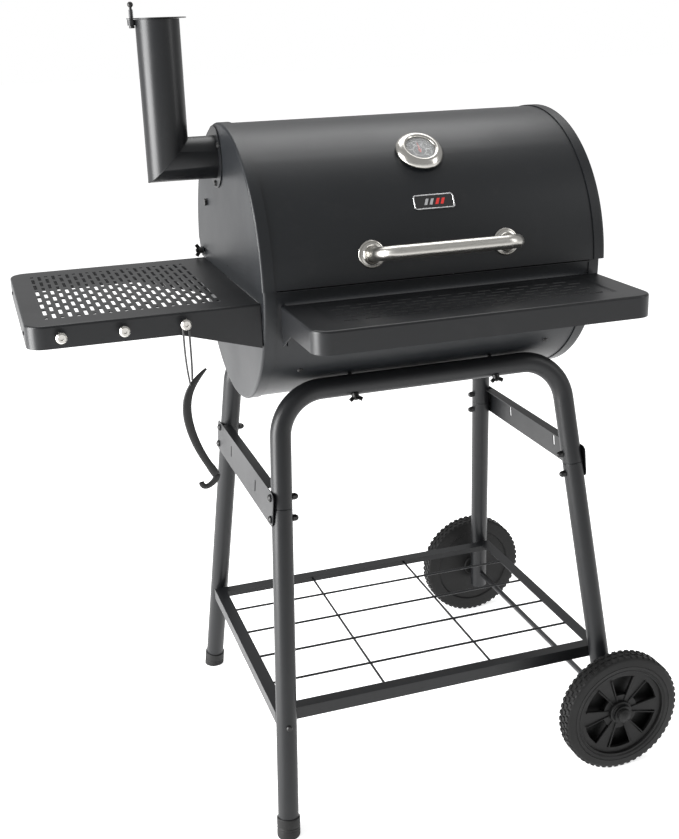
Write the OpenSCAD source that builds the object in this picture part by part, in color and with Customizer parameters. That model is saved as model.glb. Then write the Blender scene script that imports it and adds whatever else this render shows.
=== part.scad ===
// Barrel charcoal grill with a side chimney, on a two-wheeled tube stand.
// X runs along the barrel (+X towards the wheels), Y from the front shelf to the back, Z is up.

/* [Stand] */
// Outside diameter of the leg tubes
tube_d = 32; // [28:1:36]
// Wall of the leg tubes
tube_wall = 1.5; // [1:0.1:2]
// Height of the centre line of the two top tubes
top_tube_z = 668; // [640:2:700]
// Distance from the middle of the stand to each top tube's centre line
top_tube_y = 143.5; // [138:0.5:150]
// Half the stand's width where the leg lines meet the top tubes
leg_top_x = 230; // [222:1:240]
// Half the stand's width at the ground
leg_foot_x = 284; // [270:1:300]
// Half the stand's depth at the ground
leg_foot_y = 270; // [255:1:290]
// Centre line radius of the bends in the leg frames
bend_r = 70; // [60:1:80]
// Height of the joint between upper and lower legs
joint_z = 500; // [470:1:530]

/* [Wheels] */
// Radius of the wheels
wheel_r = 101.6; // [90:0.1:110]
// Width of the tyres
wheel_w = 32; // [26:1:38]
// Diameter of the axle
axle_d = 10; // [8:1:12]

/* [Bottom shelf] */
// Height of the top of the bottom shelf
rack_z = 183; // [160:1:220]
// Leg length of the angle that frames the bottom shelf
rack_angle = 20; // [15:1:25]
// Diameter of the bottom shelf's wires
rack_wire_d = 4; // [3:0.5:5]

/* [Barrel] */
// Height of the barrel's axis
axis_z = 837; // [836:0.5:840]
// Outside radius of the fire bowl's rolled shell
bowl_r = 204; // [202:0.5:204.5]
// Outside radius of the lid's rolled shell
lid_r = 213; // [211:0.5:214]
// Thickness of the rolled sheet
sheet = 1.5; // [1:0.1:1.8]
// Half the length over the bowl's end caps
bowl_end_x = 262; // [255:1:266]
// Width of the rim that each end cap wraps over its shell
rim_w = 18; // [12:1:24]
// Distance from the barrel's axis back to the lid's pivot
pivot_y = 190; // [188:0.5:192]
// How far the lid's pivot lies below the barrel's axis
pivot_drop = 7; // [5:0.5:8]

/* [Shelves] */
// Height of the side shelf's top
side_top_z = 818; // [812:0.5:818]
// Length of the side shelf from the bowl's end
side_len = 320; // [280:2:360]
// Depth of the side shelf
side_depth = 382; // [360:2:384]
// Height of the front shelf's top
front_top_z = 816; // [806:1:818]
// Length of the front shelf
front_len = 494; // [460:2:510]
// How far the front shelf's middle lies to the right of the barrel's
front_off = 8; // [0:1:10]
// Depth of the front shelf
front_depth = 160; // [130:2:180]
// Depth of the folded skirts
skirt_h = 32; // [28:1:36]
// Radius of the shelves' outer corners
corner_r = 25; // [18:1:32]

/* [Chimney] */
// Outside radius of the chimney tube
flue_r = 32; // [28:1:34]
// Distance from the barrel's middle to the upright tube's axis
flue_x = 338; // [330:1:360]
// Height of the level tube's axis
flue_z = 999; // [992:1:1002]
// Height of the chimney's rim
flue_top_z = 1200; // [1150:5:1300]

/* [Lid fittings] */
// Height of the handle's posts on the lid, in degrees above the split
handle_angle = 10.6; // [8:0.2:14]
// Half the distance between the handle's posts
handle_x = 103.5; // [90:0.5:120]
// Diameter of the handle's tube
handle_d = 20; // [18:1:22]
// Height of the thermometer on the lid, in degrees above the split
gauge_angle = 51.3; // [46:0.5:56]
// Radius of the thermometer's bezel
gauge_r = 36; // [32:0.5:38]
// Height of the badge on the lid, in degrees above the split
badge_angle = 28.6; // [26:0.2:32]

/* [Hidden] */
$fn = 64;

fit = 0.05;               // radial clearance of running fits
hair = 0.02;              // the split between the lengths of one bent tube
gap = 0.5;                // clearance between parts that move past each other
tilt = atan((leg_foot_y - top_tube_y) / top_tube_z);
slant_len = top_tube_z / cos(tilt);
splay = atan((leg_foot_x - leg_top_x) / slant_len);
side_lean = atan((leg_foot_x - leg_top_x) / top_tube_z);
tube_r = tube_d / 2;
tube_bore_r = tube_r - tube_wall;
axle_r = axle_d / 2;
axle_leg_t = wheel_r / top_tube_z;
axle_x = leg_foot_x + (leg_top_x - leg_foot_x) * axle_leg_t;
axle_leg_y = leg_foot_y + (top_tube_y - leg_foot_y) * axle_leg_t;
wheel_in_y = axle_leg_y + tube_r / cos(tilt) + 9;
wheel_out_y = wheel_in_y + wheel_w;
axle_end_y = wheel_out_y + 2;
lid_end_x = bowl_end_x + 3.5;
cap_gap = 0.3;
lid_cap_r = lid_r + cap_gap + sheet;
bowl_cap_r = bowl_r + cap_gap + sheet;
pivot_z = axis_z - pivot_drop;
back_trim = 11;           // height of the lid's back edge above the split
side_x0 = -bowl_end_x - side_len;
side_y = side_depth / 2;
front_y1 = -bowl_cap_r - 5;
front_y0 = front_y1 - front_depth;
front_x = front_len / 2;
flue_y = 34;
flue_wall = 1.2;
flange_r = 46.5;
side_reach = -side_x0 + 1.8;
wheel_reach = axle_x + wheel_r;
box_front = -front_y0;
box_back = wheel_out_y + 11;
shift = [(side_reach - wheel_reach) / 2, (box_front - box_back) / 2, 0];

black = [0.13, 0.13, 0.14];
grate_black = [0.08, 0.08, 0.08];
steel = [0.75, 0.75, 0.73];
plastic = [0.09, 0.09, 0.09];

// ---- helpers ----

// Puts the stand's middle where the whole model's box has its middle.
module placed() { translate(shift) children(); }

// Turns a flat YZ drawing into a plate that grows along +X.
module along_x(x0, len) { translate([x0, 0, 0]) rotate([90, 0, 90]) linear_extrude(len) children(); }

// Half a turn of an (r, x) profile about the barrel's axis: top half, or the bottom one.
module half_turn(top = true) {
  translate([0, 0, axis_z]) rotate([90, 0, 90]) rotate([0, 0, top ? 0 : 180])
    rotate_extrude(angle = 180, $fn = 128) children();
}

// A solid rod between two points, spun about its own axis.
module rod(a, b, r, spin = 0) {
  d = b - a;
  translate(a) rotate([0, acos(d.z / norm(d)), atan2(d.y, d.x)]) rotate([0, 0, spin])
    cylinder(r = r, h = norm(d));
}

// A straight tube between two points.
module pipe(a, b, r, bore) {
  d = b - a;
  translate(a) rotate([0, acos(d.z / norm(d)), atan2(d.y, d.x)]) difference() {
    cylinder(r = r, h = norm(d));
    translate([0, 0, -1]) cylinder(r = bore, h = norm(d) + 2);
  }
}

// A bend of tube in the XZ plane about its own centre, between two angles.
module bend(centre, radius, r, bore, from, turn) {
  translate(centre) rotate([90, 0, 0]) rotate([0, 0, from]) rotate_extrude(angle = turn)
    translate([radius, 0]) difference() {
      circle(r = r);
      if (bore > 0) circle(r = bore);
    }
}

// Places something on the lid: +Z is straight out of the sheet at that angle above the split.
module on_lid(x, angle, radius) {
  translate([x, 0, axis_z]) rotate([90 - angle, 0, 0]) translate([0, 0, radius]) children();
}

// A hexagon bolt head or nut, standing on XY.
module hex(across, h) { cylinder(d = across / cos(30), h = h, $fn = 6); }

// A domed nut, standing on XY.
module dome_nut(across, h) {
  hex(across, h * 0.5);
  translate([0, 0, h * 0.5]) intersection() {
    sphere(d = across * 0.96);
    cylinder(d = across, h = h * 0.5);
  }
}

// Where a leg's centre line is at height z: right or left (sx), back or front (sy).
function leg_at(sx, sy, z) = [
  sx * (leg_foot_x + (leg_top_x - leg_foot_x) * z / top_tube_z),
  sy * (leg_foot_y + (top_tube_y - leg_foot_y) * z / top_tube_z),
  z
];

// ---- stand ----

// The upper part of one leg pair: a tube bent into an upside-down U, leaning outwards.
// Its straight lengths and its bends are solids a hair apart, so that each keeps its round surface.
module leg_frame(sy) {
  turn = 90 - splay;
  set_in = bend_r * tan(turn / 2);
  leg_len = (top_tube_z - joint_z) / cos(tilt) / cos(splay) - set_in;
  half_top = leg_top_x - set_in - hair;
  color(black) difference() {
    translate([0, sy * top_tube_y, top_tube_z]) rotate([sy * tilt, 0, 0]) {
      pipe([-half_top, 0, 0], [half_top, 0, 0], tube_r, tube_bore_r);
      for (side = [0, 1]) mirror([side, 0, 0]) {
        bend([leg_top_x - set_in, 0, -bend_r], bend_r, tube_r, tube_bore_r, splay, turn);
        translate([leg_top_x, 0, 0]) rotate([0, 180 - splay, 0])
          pipe([0, 0, set_in + hair], [0, 0, set_in + leg_len], tube_r, tube_bore_r);
      }
    }
    for (x = [-mount_x, mount_x]) mount_axis(x, sy) translate([0, 0, bowl_r]) cylinder(r = 3.3, h = 3 * tube_d);
    for (sx = [-1, 1]) brace_place(sx) brace_bolt_at(sy, 1)
      cylinder(r = brace_hole_r, h = 3 * tube_d, center = true);
  }
}
mount_x = 116;
mount_angle = atan(top_tube_y / (axis_z - top_tube_z));

module front_leg_frame() { leg_frame(-1); }
module rear_leg_frame() { leg_frame(1); }

// A lower leg: a tube with a thinner neck that plugs into the upper frame.
module lower_leg(sx, sy, end_z, axle_hole) {
  neck_r = tube_bore_r - 0.2;
  top = leg_at(sx, sy, joint_z - 0.4);
  color(black) difference() {
    union() {
      rod(leg_at(sx, sy, end_z), top, tube_r);
      rod(leg_at(sx, sy, joint_z - 5), leg_at(sx, sy, joint_z + 40), neck_r);
    }
    rod(leg_at(sx, sy, end_z - 5), leg_at(sx, sy, joint_z - 10), tube_bore_r);
    rod(leg_at(sx, sy, joint_z - 20), leg_at(sx, sy, joint_z + 50), neck_r - tube_wall);
    brace_place(sx) for (sz = [-1, 1]) brace_bolt_at(sy, sz)
      cylinder(r = brace_hole_r, h = 3 * tube_d, center = true);
    translate([leg_at(sx, sy, rack_screw_z).x, leg_at(sx, sy, rack_screw_z).y, rack_screw_z])
      rotate([90, 0, 0]) cylinder(r = 2.7, h = 3 * tube_d, center = true);
    if (axle_hole) translate([sx * axle_x, sy * axle_leg_y, wheel_r]) rotate([90, 0, 0])
      cylinder(r = axle_r + fit, h = 3 * tube_d, center = true);
  }
}
module front_left_lower_leg() { lower_leg(-1, -1, 6, false); }
module rear_left_lower_leg() { lower_leg(-1, 1, 6, false); }
module front_right_lower_leg() { lower_leg(1, -1, 71, true); }
module rear_right_lower_leg() { lower_leg(1, 1, 71, true); }

// A plastic cap over the end of a leg, cut level with the ground.
module foot(sx, sy) {
  color(plastic) difference() {
    rod(leg_at(sx, sy, -6), leg_at(sx, sy, 28), tube_r + 2, 45);
    rod(leg_at(sx, sy, 5.9), leg_at(sx, sy, 40), tube_r + 0.02, 45);
    translate([0, 0, -25]) cube([2000, 2000, 50], center = true);
  }
}
module front_left_foot() { foot(-1, -1); }
module rear_left_foot() { foot(-1, 1); }

// The plate that ties a front leg to a back one across the joint, leaning with the legs.
brace_h = 52;
brace_sheet = 1.5;
brace_bolt_z = 16;
brace_hole_r = 3.2;
brace_half = 188;
module brace_place(sx) {
  p = leg_at(sx, 1, joint_z);
  translate([p.x, 0, joint_z]) rotate([0, -sx * side_lean, 0]) mirror([sx < 0 ? 1 : 0, 0, 0]) children();
}
module brace(sx) {
  leg_y = leg_at(sx, 1, joint_z).y;
  color(black) brace_place(sx) translate([tube_r + 0.4, 0, 0]) difference() {
    union() {
      along_x(0, brace_sheet) offset(r = 8) square([2 * brace_half - 16, brace_h - 16], center = true);
      translate([-14, -leg_y + tube_r + 6, brace_h / 2 - brace_sheet])
        cube([14 + brace_sheet, 2 * (leg_y - tube_r - 6), brace_sheet]);
    }
    for (y = [-82, 82]) hull() for (z = [-7, 7]) translate([-1, y, z + 2])
      rotate([0, 90, 0]) cylinder(r = 2.5, h = brace_sheet + 2, $fn = 32);
    for (sy = [-1, 1], sz = [-1, 1]) brace_bolt_at(sy, sz) cylinder(r = 3.3, h = 20, center = true);
  }
}
// Where a brace bolt's axis crosses the plate, with +Z outwards.
module brace_bolt_at(sy, sz) {
  y = leg_at(1, sy, joint_z + sz * brace_bolt_z).y;
  translate([0, y, sz * brace_bolt_z]) rotate([0, 90, 0]) children();
}
module left_brace() { brace(-1); }
module right_brace() { brace(1); }

// Domed bolts along X through plate, upper leg and neck.
module brace_bolts() {
  color(black) for (sx = [-1, 1]) brace_place(sx) for (sy = [-1, 1], sz = [-1, 1])
    brace_bolt_at(sy, sz) {
      translate([0, 0, -tube_r - 7]) cylinder(r = 3, h = 2 * tube_r + 9.2);
      translate([0, 0, tube_r + 2]) intersection() {
        cylinder(r = 6, h = 4.5);
        translate([0, 0, -3]) sphere(r = 7.5);
      }
    }
}
module brace_nuts() {
  color(black) for (sx = [-1, 1]) brace_place(sx) for (sy = [-1, 1], sz = [-1, 1])
    brace_bolt_at(sy, sz) translate([0, 0, -tube_r - 0.2]) mirror([0, 0, 1]) difference() {
      dome_nut(10, 9.5);
      translate([0, 0, -1]) cylinder(r = 3.05, h = 7.9);
    }
}

// ---- bottom shelf ----

rack_x = leg_at(1, 1, rack_z).x + tube_r - 3;
rack_y = leg_at(1, 1, rack_z).y - tube_r / cos(tilt) - 0.4;
rack_sheet = 2;
module rack_frame() {
  color(black) difference() {
    translate([-rack_x, -rack_y, rack_z - rack_angle]) cube([2 * rack_x, 2 * rack_y, rack_angle]);
    translate([-rack_x + rack_sheet, -rack_y + rack_sheet, rack_z - rack_angle - 1])
      cube([2 * (rack_x - rack_sheet), 2 * (rack_y - rack_sheet), rack_angle + 1 - rack_sheet]);
    translate([-rack_x + rack_angle, -rack_y + rack_angle, rack_z - rack_angle])
      cube([2 * (rack_x - rack_angle), 2 * (rack_y - rack_angle), rack_angle + 1]);
    for (sx = [-1, 1], sy = [-1, 1]) translate([sx * leg_at(1, 1, rack_screw_z).x, sy * rack_y, rack_screw_z])
      rotate([90, 0, 0]) cylinder(r = 2.6, h = 12, center = true);
  }
}
rack_screw_z = rack_z - 10;
module rack_wires() {
  inner_x = rack_x - rack_sheet;
  inner_y = rack_y - rack_sheet;
  r = rack_wire_d / 2;
  color(black) {
    for (i = [1:4]) translate([0, inner_y * (i / 2.5 - 1), rack_z - rack_sheet - r]) rotate([0, 90, 0])
      cylinder(r = r, h = 2 * inner_x, center = true);
    for (side = [-1, 1]) translate([side * inner_x / 3, 0, rack_z - rack_sheet - 3 * r])
      rotate([90, 0, 0]) cylinder(r = r, h = 2 * inner_y, center = true);
  }
}
// Screws through each leg into the shelf's frame.
module rack_screws() {
  color(black) for (sx = [-1, 1], sy = [-1, 1]) {
    p = leg_at(sx, sy, rack_screw_z);
    out = p.y * sy + tube_r / cos(tilt) + 0.6;
    translate([p.x, sy * (rack_y - 8), p.z]) rotate([sy * -90, 0, 0]) {
      cylinder(r = 2.5, h = out - rack_y + 8);
      translate([0, 0, out - rack_y + 8]) cylinder(r1 = 5, r2 = 3.5, h = 2.6);
    }
  }
}

// ---- axle and wheels ----

module axle() {
  color(steel) translate([axle_x, 0, wheel_r]) rotate([90, 0, 0])
    cylinder(r = axle_r, h = 2 * axle_end_y, center = true);
}
module axle_spacers() {
  color(black) for (sy = [-1, 1]) {
    y0 = axle_leg_y + tube_r / cos(tilt) + 3.5;
    translate([axle_x, sy * y0, wheel_r]) rotate([sy * -90, 0, 0]) difference() {
      cylinder(r = 10, h = wheel_in_y - y0 - gap);
      translate([0, 0, -1]) cylinder(r = axle_r + fit, h = 30);
    }
  }
}
// Washers and domed push caps on the axle's ends.
module axle_caps() {
  color(plastic) for (sy = [-1, 1]) translate([axle_x, sy * (wheel_out_y + gap), wheel_r])
    rotate([sy * -90, 0, 0]) difference() {
      union() {
        cylinder(r = 15, h = 1.5);
        translate([0, 0, 1.5]) cylinder(r = 11, h = 4.5);
        translate([0, 0, 6]) intersection() {
          translate([0, 0, -11]) sphere(r = 15.5);
          cylinder(r = 11, h = 5);
        }
      }
      translate([0, 0, -1]) cylinder(r = axle_r + 0.02, h = 4);
    }
}
// A moulded wheel: tyre, rim, web with six windows, hub.
module wheel(sy) {
  color(plastic) translate([axle_x, sy * wheel_in_y, wheel_r]) rotate([sy * -90, 0, 0]) difference() {
    union() {
      rotate_extrude($fn = 128) difference() {
        translate([74, 0]) square([wheel_r - 74, wheel_w]);
        translate([wheel_r - 3, -1]) rotate(-45) square([10, 5]);
        translate([wheel_r - 3, wheel_w + 1]) rotate(45) translate([0, -5]) square([10, 5]);
      }
      translate([0, 0, wheel_w - 13]) cylinder(r = 75, h = 8);
      translate([0, 0, 4]) cylinder(r = 75, h = 2);
      cylinder(r = 20, h = wheel_w - 1);
    }
    translate([0, 0, -1]) cylinder(r = axle_r + fit, h = wheel_w + 2);
    for (i = [0:5]) rotate([0, 0, 60 * i + 30]) translate([0, 0, wheel_w - 15]) window();
  }
}
module window() {
  linear_extrude(12) offset(r = 4) polygon([
    for (a = [-18:6:18]) 66 * [cos(a), sin(a)],
    for (a = [14:-7:-14]) 33 * [cos(a), sin(a)]
  ]);
}
module front_wheel() { wheel(-1); }
module rear_wheel() { wheel(1); }

// ---- fire bowl ----

// The (r, x) section of an end cap: a disc with a rim folded over the shell.
cap_fold = 4;
module cap_section(r, end_x, width) {
  fold = cap_fold;
  translate([0, end_x - sheet]) square([r - fold, sheet]);
  translate([r - sheet, end_x - width]) square([sheet, width - fold]);
  translate([r - fold, end_x - fold]) difference() {
    intersection() {
      circle(r = fold, $fn = 32);
      square(fold);
    }
    circle(r = fold - sheet, $fn = 32);
  }
}
// The front lip that is folded out of the bowl's shell, under the lid's edge.
lip_w = 7;
module bowl_shell() {
  len = 2 * (bowl_end_x - cap_fold + 0.8);
  color(black) difference() {
    union() {
      half_turn(false) translate([bowl_r - sheet, -len / 2]) square([sheet, len]);
      translate([-bowl_end_x + rim_w + 1, -bowl_r - lip_w, axis_z - 1 - sheet])
        cube([2 * (bowl_end_x - rim_w - 1), lip_w + sheet, sheet]);
    }
    translate([0, 0, axis_z + 49]) cube([1000, 1000, 100], center = true);
    for (x = [-mount_x, mount_x], sy = [-1, 1]) mount_axis(x, sy) cylinder(r = 3.3, h = 400);
    for (sx = [-1, 1]) front_bolt_at(sx) cylinder(r = 2.8, h = 30, center = true);
  }
}
// The line from the barrel's axis through a top tube's centre line.
module mount_axis(x, sy) {
  translate([x, 0, axis_z]) rotate([sy * mount_angle, 0, 0]) mirror([0, 0, 1]) children();
}
module bowl_cap(sx) {
  color(black) difference() {
    union() {
      mirror([sx < 0 ? 1 : 0, 0, 0]) half_turn(false) cap_section(bowl_cap_r, bowl_end_x, rim_w);
      translate([sx * (bowl_end_x - sheet / 2), 0, 0]) along_x(-sheet / 2, sheet) hull() {
        translate([pivot_y, pivot_z]) circle(r = 9, $fn = 32);
        translate([pivot_y - 15, pivot_z - 30]) circle(r = 9, $fn = 32);
      }
    }
    difference() {
      translate([0, 0, axis_z + 49]) cube([1000, 1000, 100], center = true);
      translate([0, pivot_y, pivot_z]) rotate([0, 90, 0]) cylinder(r = 9, h = 1000, center = true);
    }
    translate([0, pivot_y, pivot_z]) rotate([0, 90, 0]) cylinder(r = 3, h = 1000, center = true);
    if (sx < 0) for (sy = [-1, 1], z = side_bolt_z) translate([-bowl_end_x, sy * side_bolt_y, z])
      rotate([0, 90, 0]) cylinder(r = 2.8, h = 20, center = true);
  }
}
module bowl_left_cap() { bowl_cap(-1); }
module bowl_right_cap() { bowl_cap(1); }

// Radial bolts that hang the bowl on the top tubes, their washers and their wing nuts.
module bowl_mount_bolts() {
  tube_dist = norm([top_tube_y, axis_z - top_tube_z]);
  color(black) for (x = [-mount_x, mount_x], sy = [-1, 1]) mount_axis(x, sy) {
    translate([0, 0, bowl_r - sheet - 4.2]) cylinder(r1 = 4, r2 = 6.5, h = 4);
    translate([0, 0, bowl_r - sheet - 1]) cylinder(r = 3, h = tube_dist + tube_r + 12 - bowl_r);
  }
}
module bowl_wing_nuts() {
  tube_dist = norm([top_tube_y, axis_z - top_tube_z]);
  color(black) for (x = [-mount_x, mount_x], sy = [-1, 1]) mount_axis(x, sy)
    translate([0, 0, tube_dist + tube_r + 0.1]) wing_nut(3);
}
module wing_nut(bolt_r) {
  difference() {
    union() {
      cylinder(r1 = bolt_r + 3, r2 = bolt_r + 2, h = 6);
      for (a = [0, 180]) rotate([0, 0, a]) translate([bolt_r + 1, -1.2, 2]) rotate([0, -35, 0])
        cube([9, 2.4, 6]);
    }
    translate([0, 0, -1]) cylinder(r = bolt_r + fit, h = 20);
  }
}

// ---- grates ----

grate_z = 806;
grate_half = 190;
coal_z = 715;
coal_half = 148;

// A strip along X, folded inwards from the bowl's inside at a height.
module ledge(sy, z, inner, half_len) {
  reach = sqrt((bowl_r - sheet - 0.2) * (bowl_r - sheet - 0.2) - (axis_z - z) * (axis_z - z));
  along_x(-half_len, 2 * half_len) intersection() {
    polygon([
      [sy * inner, z], [sy * inner, z - sheet], [sy * (inner + 6), z - sheet],
      [sy * (reach + 6), z - sheet - 16], [sy * (reach + 12), z]
    ]);
    translate([0, axis_z]) circle(r = bowl_r - sheet - 0.1, $fn = 128);
  }
}
module grate_ledges() {
  color(black) difference() {
    for (sy = [-1, 1]) ledge(sy, grate_z, grate_half - 12, 250);
    for (sx = [-1, 1]) front_bolt_at(sx) cylinder(r = 2.8, h = 30, center = true);
  }
}
module charcoal_ledges() { color(black) for (sy = [-1, 1]) ledge(sy, coal_z, coal_half - 10, 220); }

// A wire grate: a rectangle of thick rod with thinner rods across, resting at height z.
module wire_grate(x0, x1, half, z, frame_r, bar_r, bars) {
  step = (x1 - x0) / (bars + 1);
  for (y = [-half + frame_r, half - frame_r]) translate([x0, y, z + frame_r]) rotate([0, 90, 0])
    cylinder(r = frame_r, h = x1 - x0);
  for (x = [x0 + frame_r, x1 - frame_r]) translate([x, -half, z + 3 * frame_r]) rotate([-90, 0, 0])
    cylinder(r = frame_r, h = 2 * half);
  for (i = [1:bars]) translate([x0 + i * step, -half, z + 2 * frame_r + bar_r]) rotate([-90, 0, 0])
    cylinder(r = bar_r, h = 2 * half);
}
// The grates end clear of the caps' rims.
grate_end = bowl_end_x - rim_w + 1;
module left_cooking_grate() { color(grate_black) wire_grate(-grate_end, -2, grate_half, grate_z, 3, 2, 15); }
module right_cooking_grate() { color(grate_black) wire_grate(2, grate_end, grate_half, grate_z, 3, 2, 15); }
module charcoal_grate() { color(grate_black) wire_grate(-225, 225, coal_half, coal_z, 3, 2.5, 22); }
// Domed rivet heads outside the shell, along both pairs of ledges.
module ledge_rivets() {
  color(black) for (sx = [-1, 1], sy = [-1, 1], z = [grate_z - 10, coal_z - 10])
    translate([0, 0, axis_z]) rotate([sy * acos((axis_z - z) / (bowl_r - sheet)), 0, 0]) mirror([0, 0, 1])
      translate([sx * 200, 0, bowl_r + 0.1]) cylinder(r1 = 4.5, r2 = 3, h = 2);
}

// ---- shelves ----

// The plan of a shelf: a rectangle whose two outer corners are round.
module shelf_plan(len, depth, r) {
  hull() {
    translate([r, r]) circle(r = r);
    translate([r, depth - r]) circle(r = r);
    translate([len - 1, 0]) square([1, depth]);
  }
}
side_bolt_y = side_y - 12;
side_bolt_z = [side_top_z - 20, side_top_z - 44];
slot_w = 5;
slot_l = 31;
slot_pitch_x = 10.8;
slot_pitch_y = 44;
side_columns = 23;
module side_slots() {
  for (i = [0:side_columns - 1]) translate([32 + i * slot_pitch_x, side_y]) {
    if (i % 2 == 1) for (j = [-3:3]) translate([0, j * slot_pitch_y]) square([slot_w, slot_l], center = true);
    if (i % 2 == 0) {
      for (j = [-2.5:2.5]) translate([0, j * slot_pitch_y]) square([slot_w, slot_l], center = true);
      for (s = [-1, 1]) translate([0, s * (3.3 * slot_pitch_y)]) square([slot_w, 8], center = true);
    }
  }
}
module side_shelf() {
  len = side_len - 1.2;
  color(black) difference() {
    translate([side_x0, -side_y, side_top_z - skirt_h]) union() {
      difference() {
        linear_extrude(skirt_h) shelf_plan(len, side_depth, corner_r);
        translate([0, 0, -1]) linear_extrude(skirt_h + 1 - sheet) translate([sheet, sheet])
          shelf_plan(len + 10, side_depth - 2 * sheet, corner_r - sheet);
        translate([0, 0, skirt_h - 3]) linear_extrude(5) side_slots();
      }
      for (y = [0, side_depth - sheet]) translate([0, y + sheet, 0]) rotate([90, 0, 0])
        linear_extrude(sheet) polygon([[len - 115, 0.5], [len, 0.5], [len, -32], [len - 3, -32]]);
      for (y = [sheet, side_depth - sheet - 22]) translate([len - sheet, y, -32])
        cube([sheet, 22, skirt_h + 31]);
    }
    for (sy = [-1, 1], z = side_bolt_z) translate([-bowl_end_x, sy * side_bolt_y, z])
      rotate([0, 90, 0]) cylinder(r = 2.8, h = 20, center = true);
    for (x = hook_x) translate([x, -side_y, hook_z]) rotate([90, 0, 0])
      cylinder(r = 3.2, h = 20, center = true);
  }
}
hook_x = [-537, -454, -371];
hook_z = side_top_z - 15;
// Three stainless hook bolts: a stem and a round head with a hexagon socket.
module side_shelf_hooks() {
  color(steel) for (x = hook_x) translate([x, -side_y + sheet + 5, hook_z]) rotate([90, 0, 0]) {
    hex(9, 4.8);
    cylinder(r = 3, h = sheet + 5 + 12);
    translate([0, 0, sheet + 16]) difference() {
      union() {
        cylinder(r = 7.5, h = 4);
        translate([0, 0, 4]) cylinder(r1 = 7.5, r2 = 5.5, h = 2);
      }
      translate([0, 0, 3.5]) hex(5, 3);
    }
  }
}
module side_shelf_bolts() {
  color(black) {
    for (sy = [-1, 1], z = side_bolt_z) translate([-bowl_end_x - 1.2 - sheet - 2.8, sy * side_bolt_y, z])
      rotate([0, 90, 0]) {
        cylinder(r1 = 3.5, r2 = 5, h = 2.6);
        cylinder(r = 2.5, h = 12);
      }
    for (y = [-150, 118]) translate([side_x0 - 1.8, y, side_top_z - 16]) rotate([0, 90, 0])
      cylinder(r1 = 2.2, r2 = 3, h = 1.7);
  }
}

front_bolt_angle = 12;
// The outer face of a front shelf's gusset: inside the shelf's end and clear of the bowl cap's rim.
function gusset_x(sx) = min(front_x + sx * front_off - 6, bowl_end_x - rim_w - 3);
// A front shelf bolt's axis, with +Z out of the bowl.
module front_bolt_at(sx) {
  translate([sx * (gusset_x(sx) - 14), 0, axis_z]) rotate([90 + front_bolt_angle, 0, 0])
    translate([0, 0, bowl_r]) children();
}
module front_shelf() {
  color(black) {
    translate([front_off - front_x, front_y0, front_top_z - skirt_h]) difference() {
      linear_extrude(skirt_h) front_plan(0);
      translate([0, 0, -1]) linear_extrude(skirt_h + 1 - 3.5) front_plan(sheet);
      translate([40, 40, skirt_h - 2]) cube([front_len - 80, front_depth - 60, 3]);
    }
    for (sx = [-1, 1]) front_gusset(sx);
  }
}
module front_plan(inset) {
  translate([inset, inset]) hull() {
    w = front_len - 2 * inset;
    r = corner_r - inset;
    translate([r, r]) circle(r = r);
    translate([w - r, r]) circle(r = r);
    translate([0, front_depth - 1]) square([w, 1 + (inset > 0 ? 10 : 0)]);
  }
}
// The side of the front shelf carried back to the bowl, with a tab that lies on the shell.
module front_gusset(sx) {
  low = front_top_z - skirt_h;
  translate([sx * (gusset_x(sx) - sheet / 2), 0, 0]) along_x(-sheet / 2, sheet) difference() {
    polygon([
      [front_y1, low - 26], [front_y1, front_top_z], [front_y1 + 14, front_top_z],
      [front_y1 + 26, low - 26]
    ]);
    translate([0, axis_z]) circle(r = bowl_r + 0.2, $fn = 128);
  }
  difference() {
    translate([sx * (gusset_x(sx) - sheet - 12), 0, 0]) along_x(-12, 24) intersection() {
      difference() {
        translate([0, axis_z]) circle(r = bowl_r + 0.3 + sheet, $fn = 128);
        translate([0, axis_z]) circle(r = bowl_r + 0.3, $fn = 128);
      }
      translate([-bowl_r - 10, low - 26]) square([60, skirt_h + 20]);
    }
    front_bolt_at(sx) cylinder(r = 2.8, h = 30, center = true);
  }
}
module front_shelf_bolts() {
  color(black) for (sx = [-1, 1]) front_bolt_at(sx) {
    translate([0, 0, -8]) cylinder(r = 2.5, h = 10.2);
    translate([0, 0, sheet + 0.4]) cylinder(r1 = 5, r2 = 3.5, h = 2.6);
  }
}

// ---- lid ----

module lid_shell() {
  len = 2 * (lid_end_x - cap_fold + 0.8);
  color(black) difference() {
    half_turn() translate([lid_r - sheet, -len / 2]) square([sheet, len]);
    lid_trim();
    on_lid(0, gauge_angle, lid_r) cylinder(r = 5, h = 20, center = true);
    for (x = [-handle_x, handle_x]) on_lid(x, handle_angle, lid_r) cylinder(r = 3.2, h = 20, center = true);
  }
}
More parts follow.
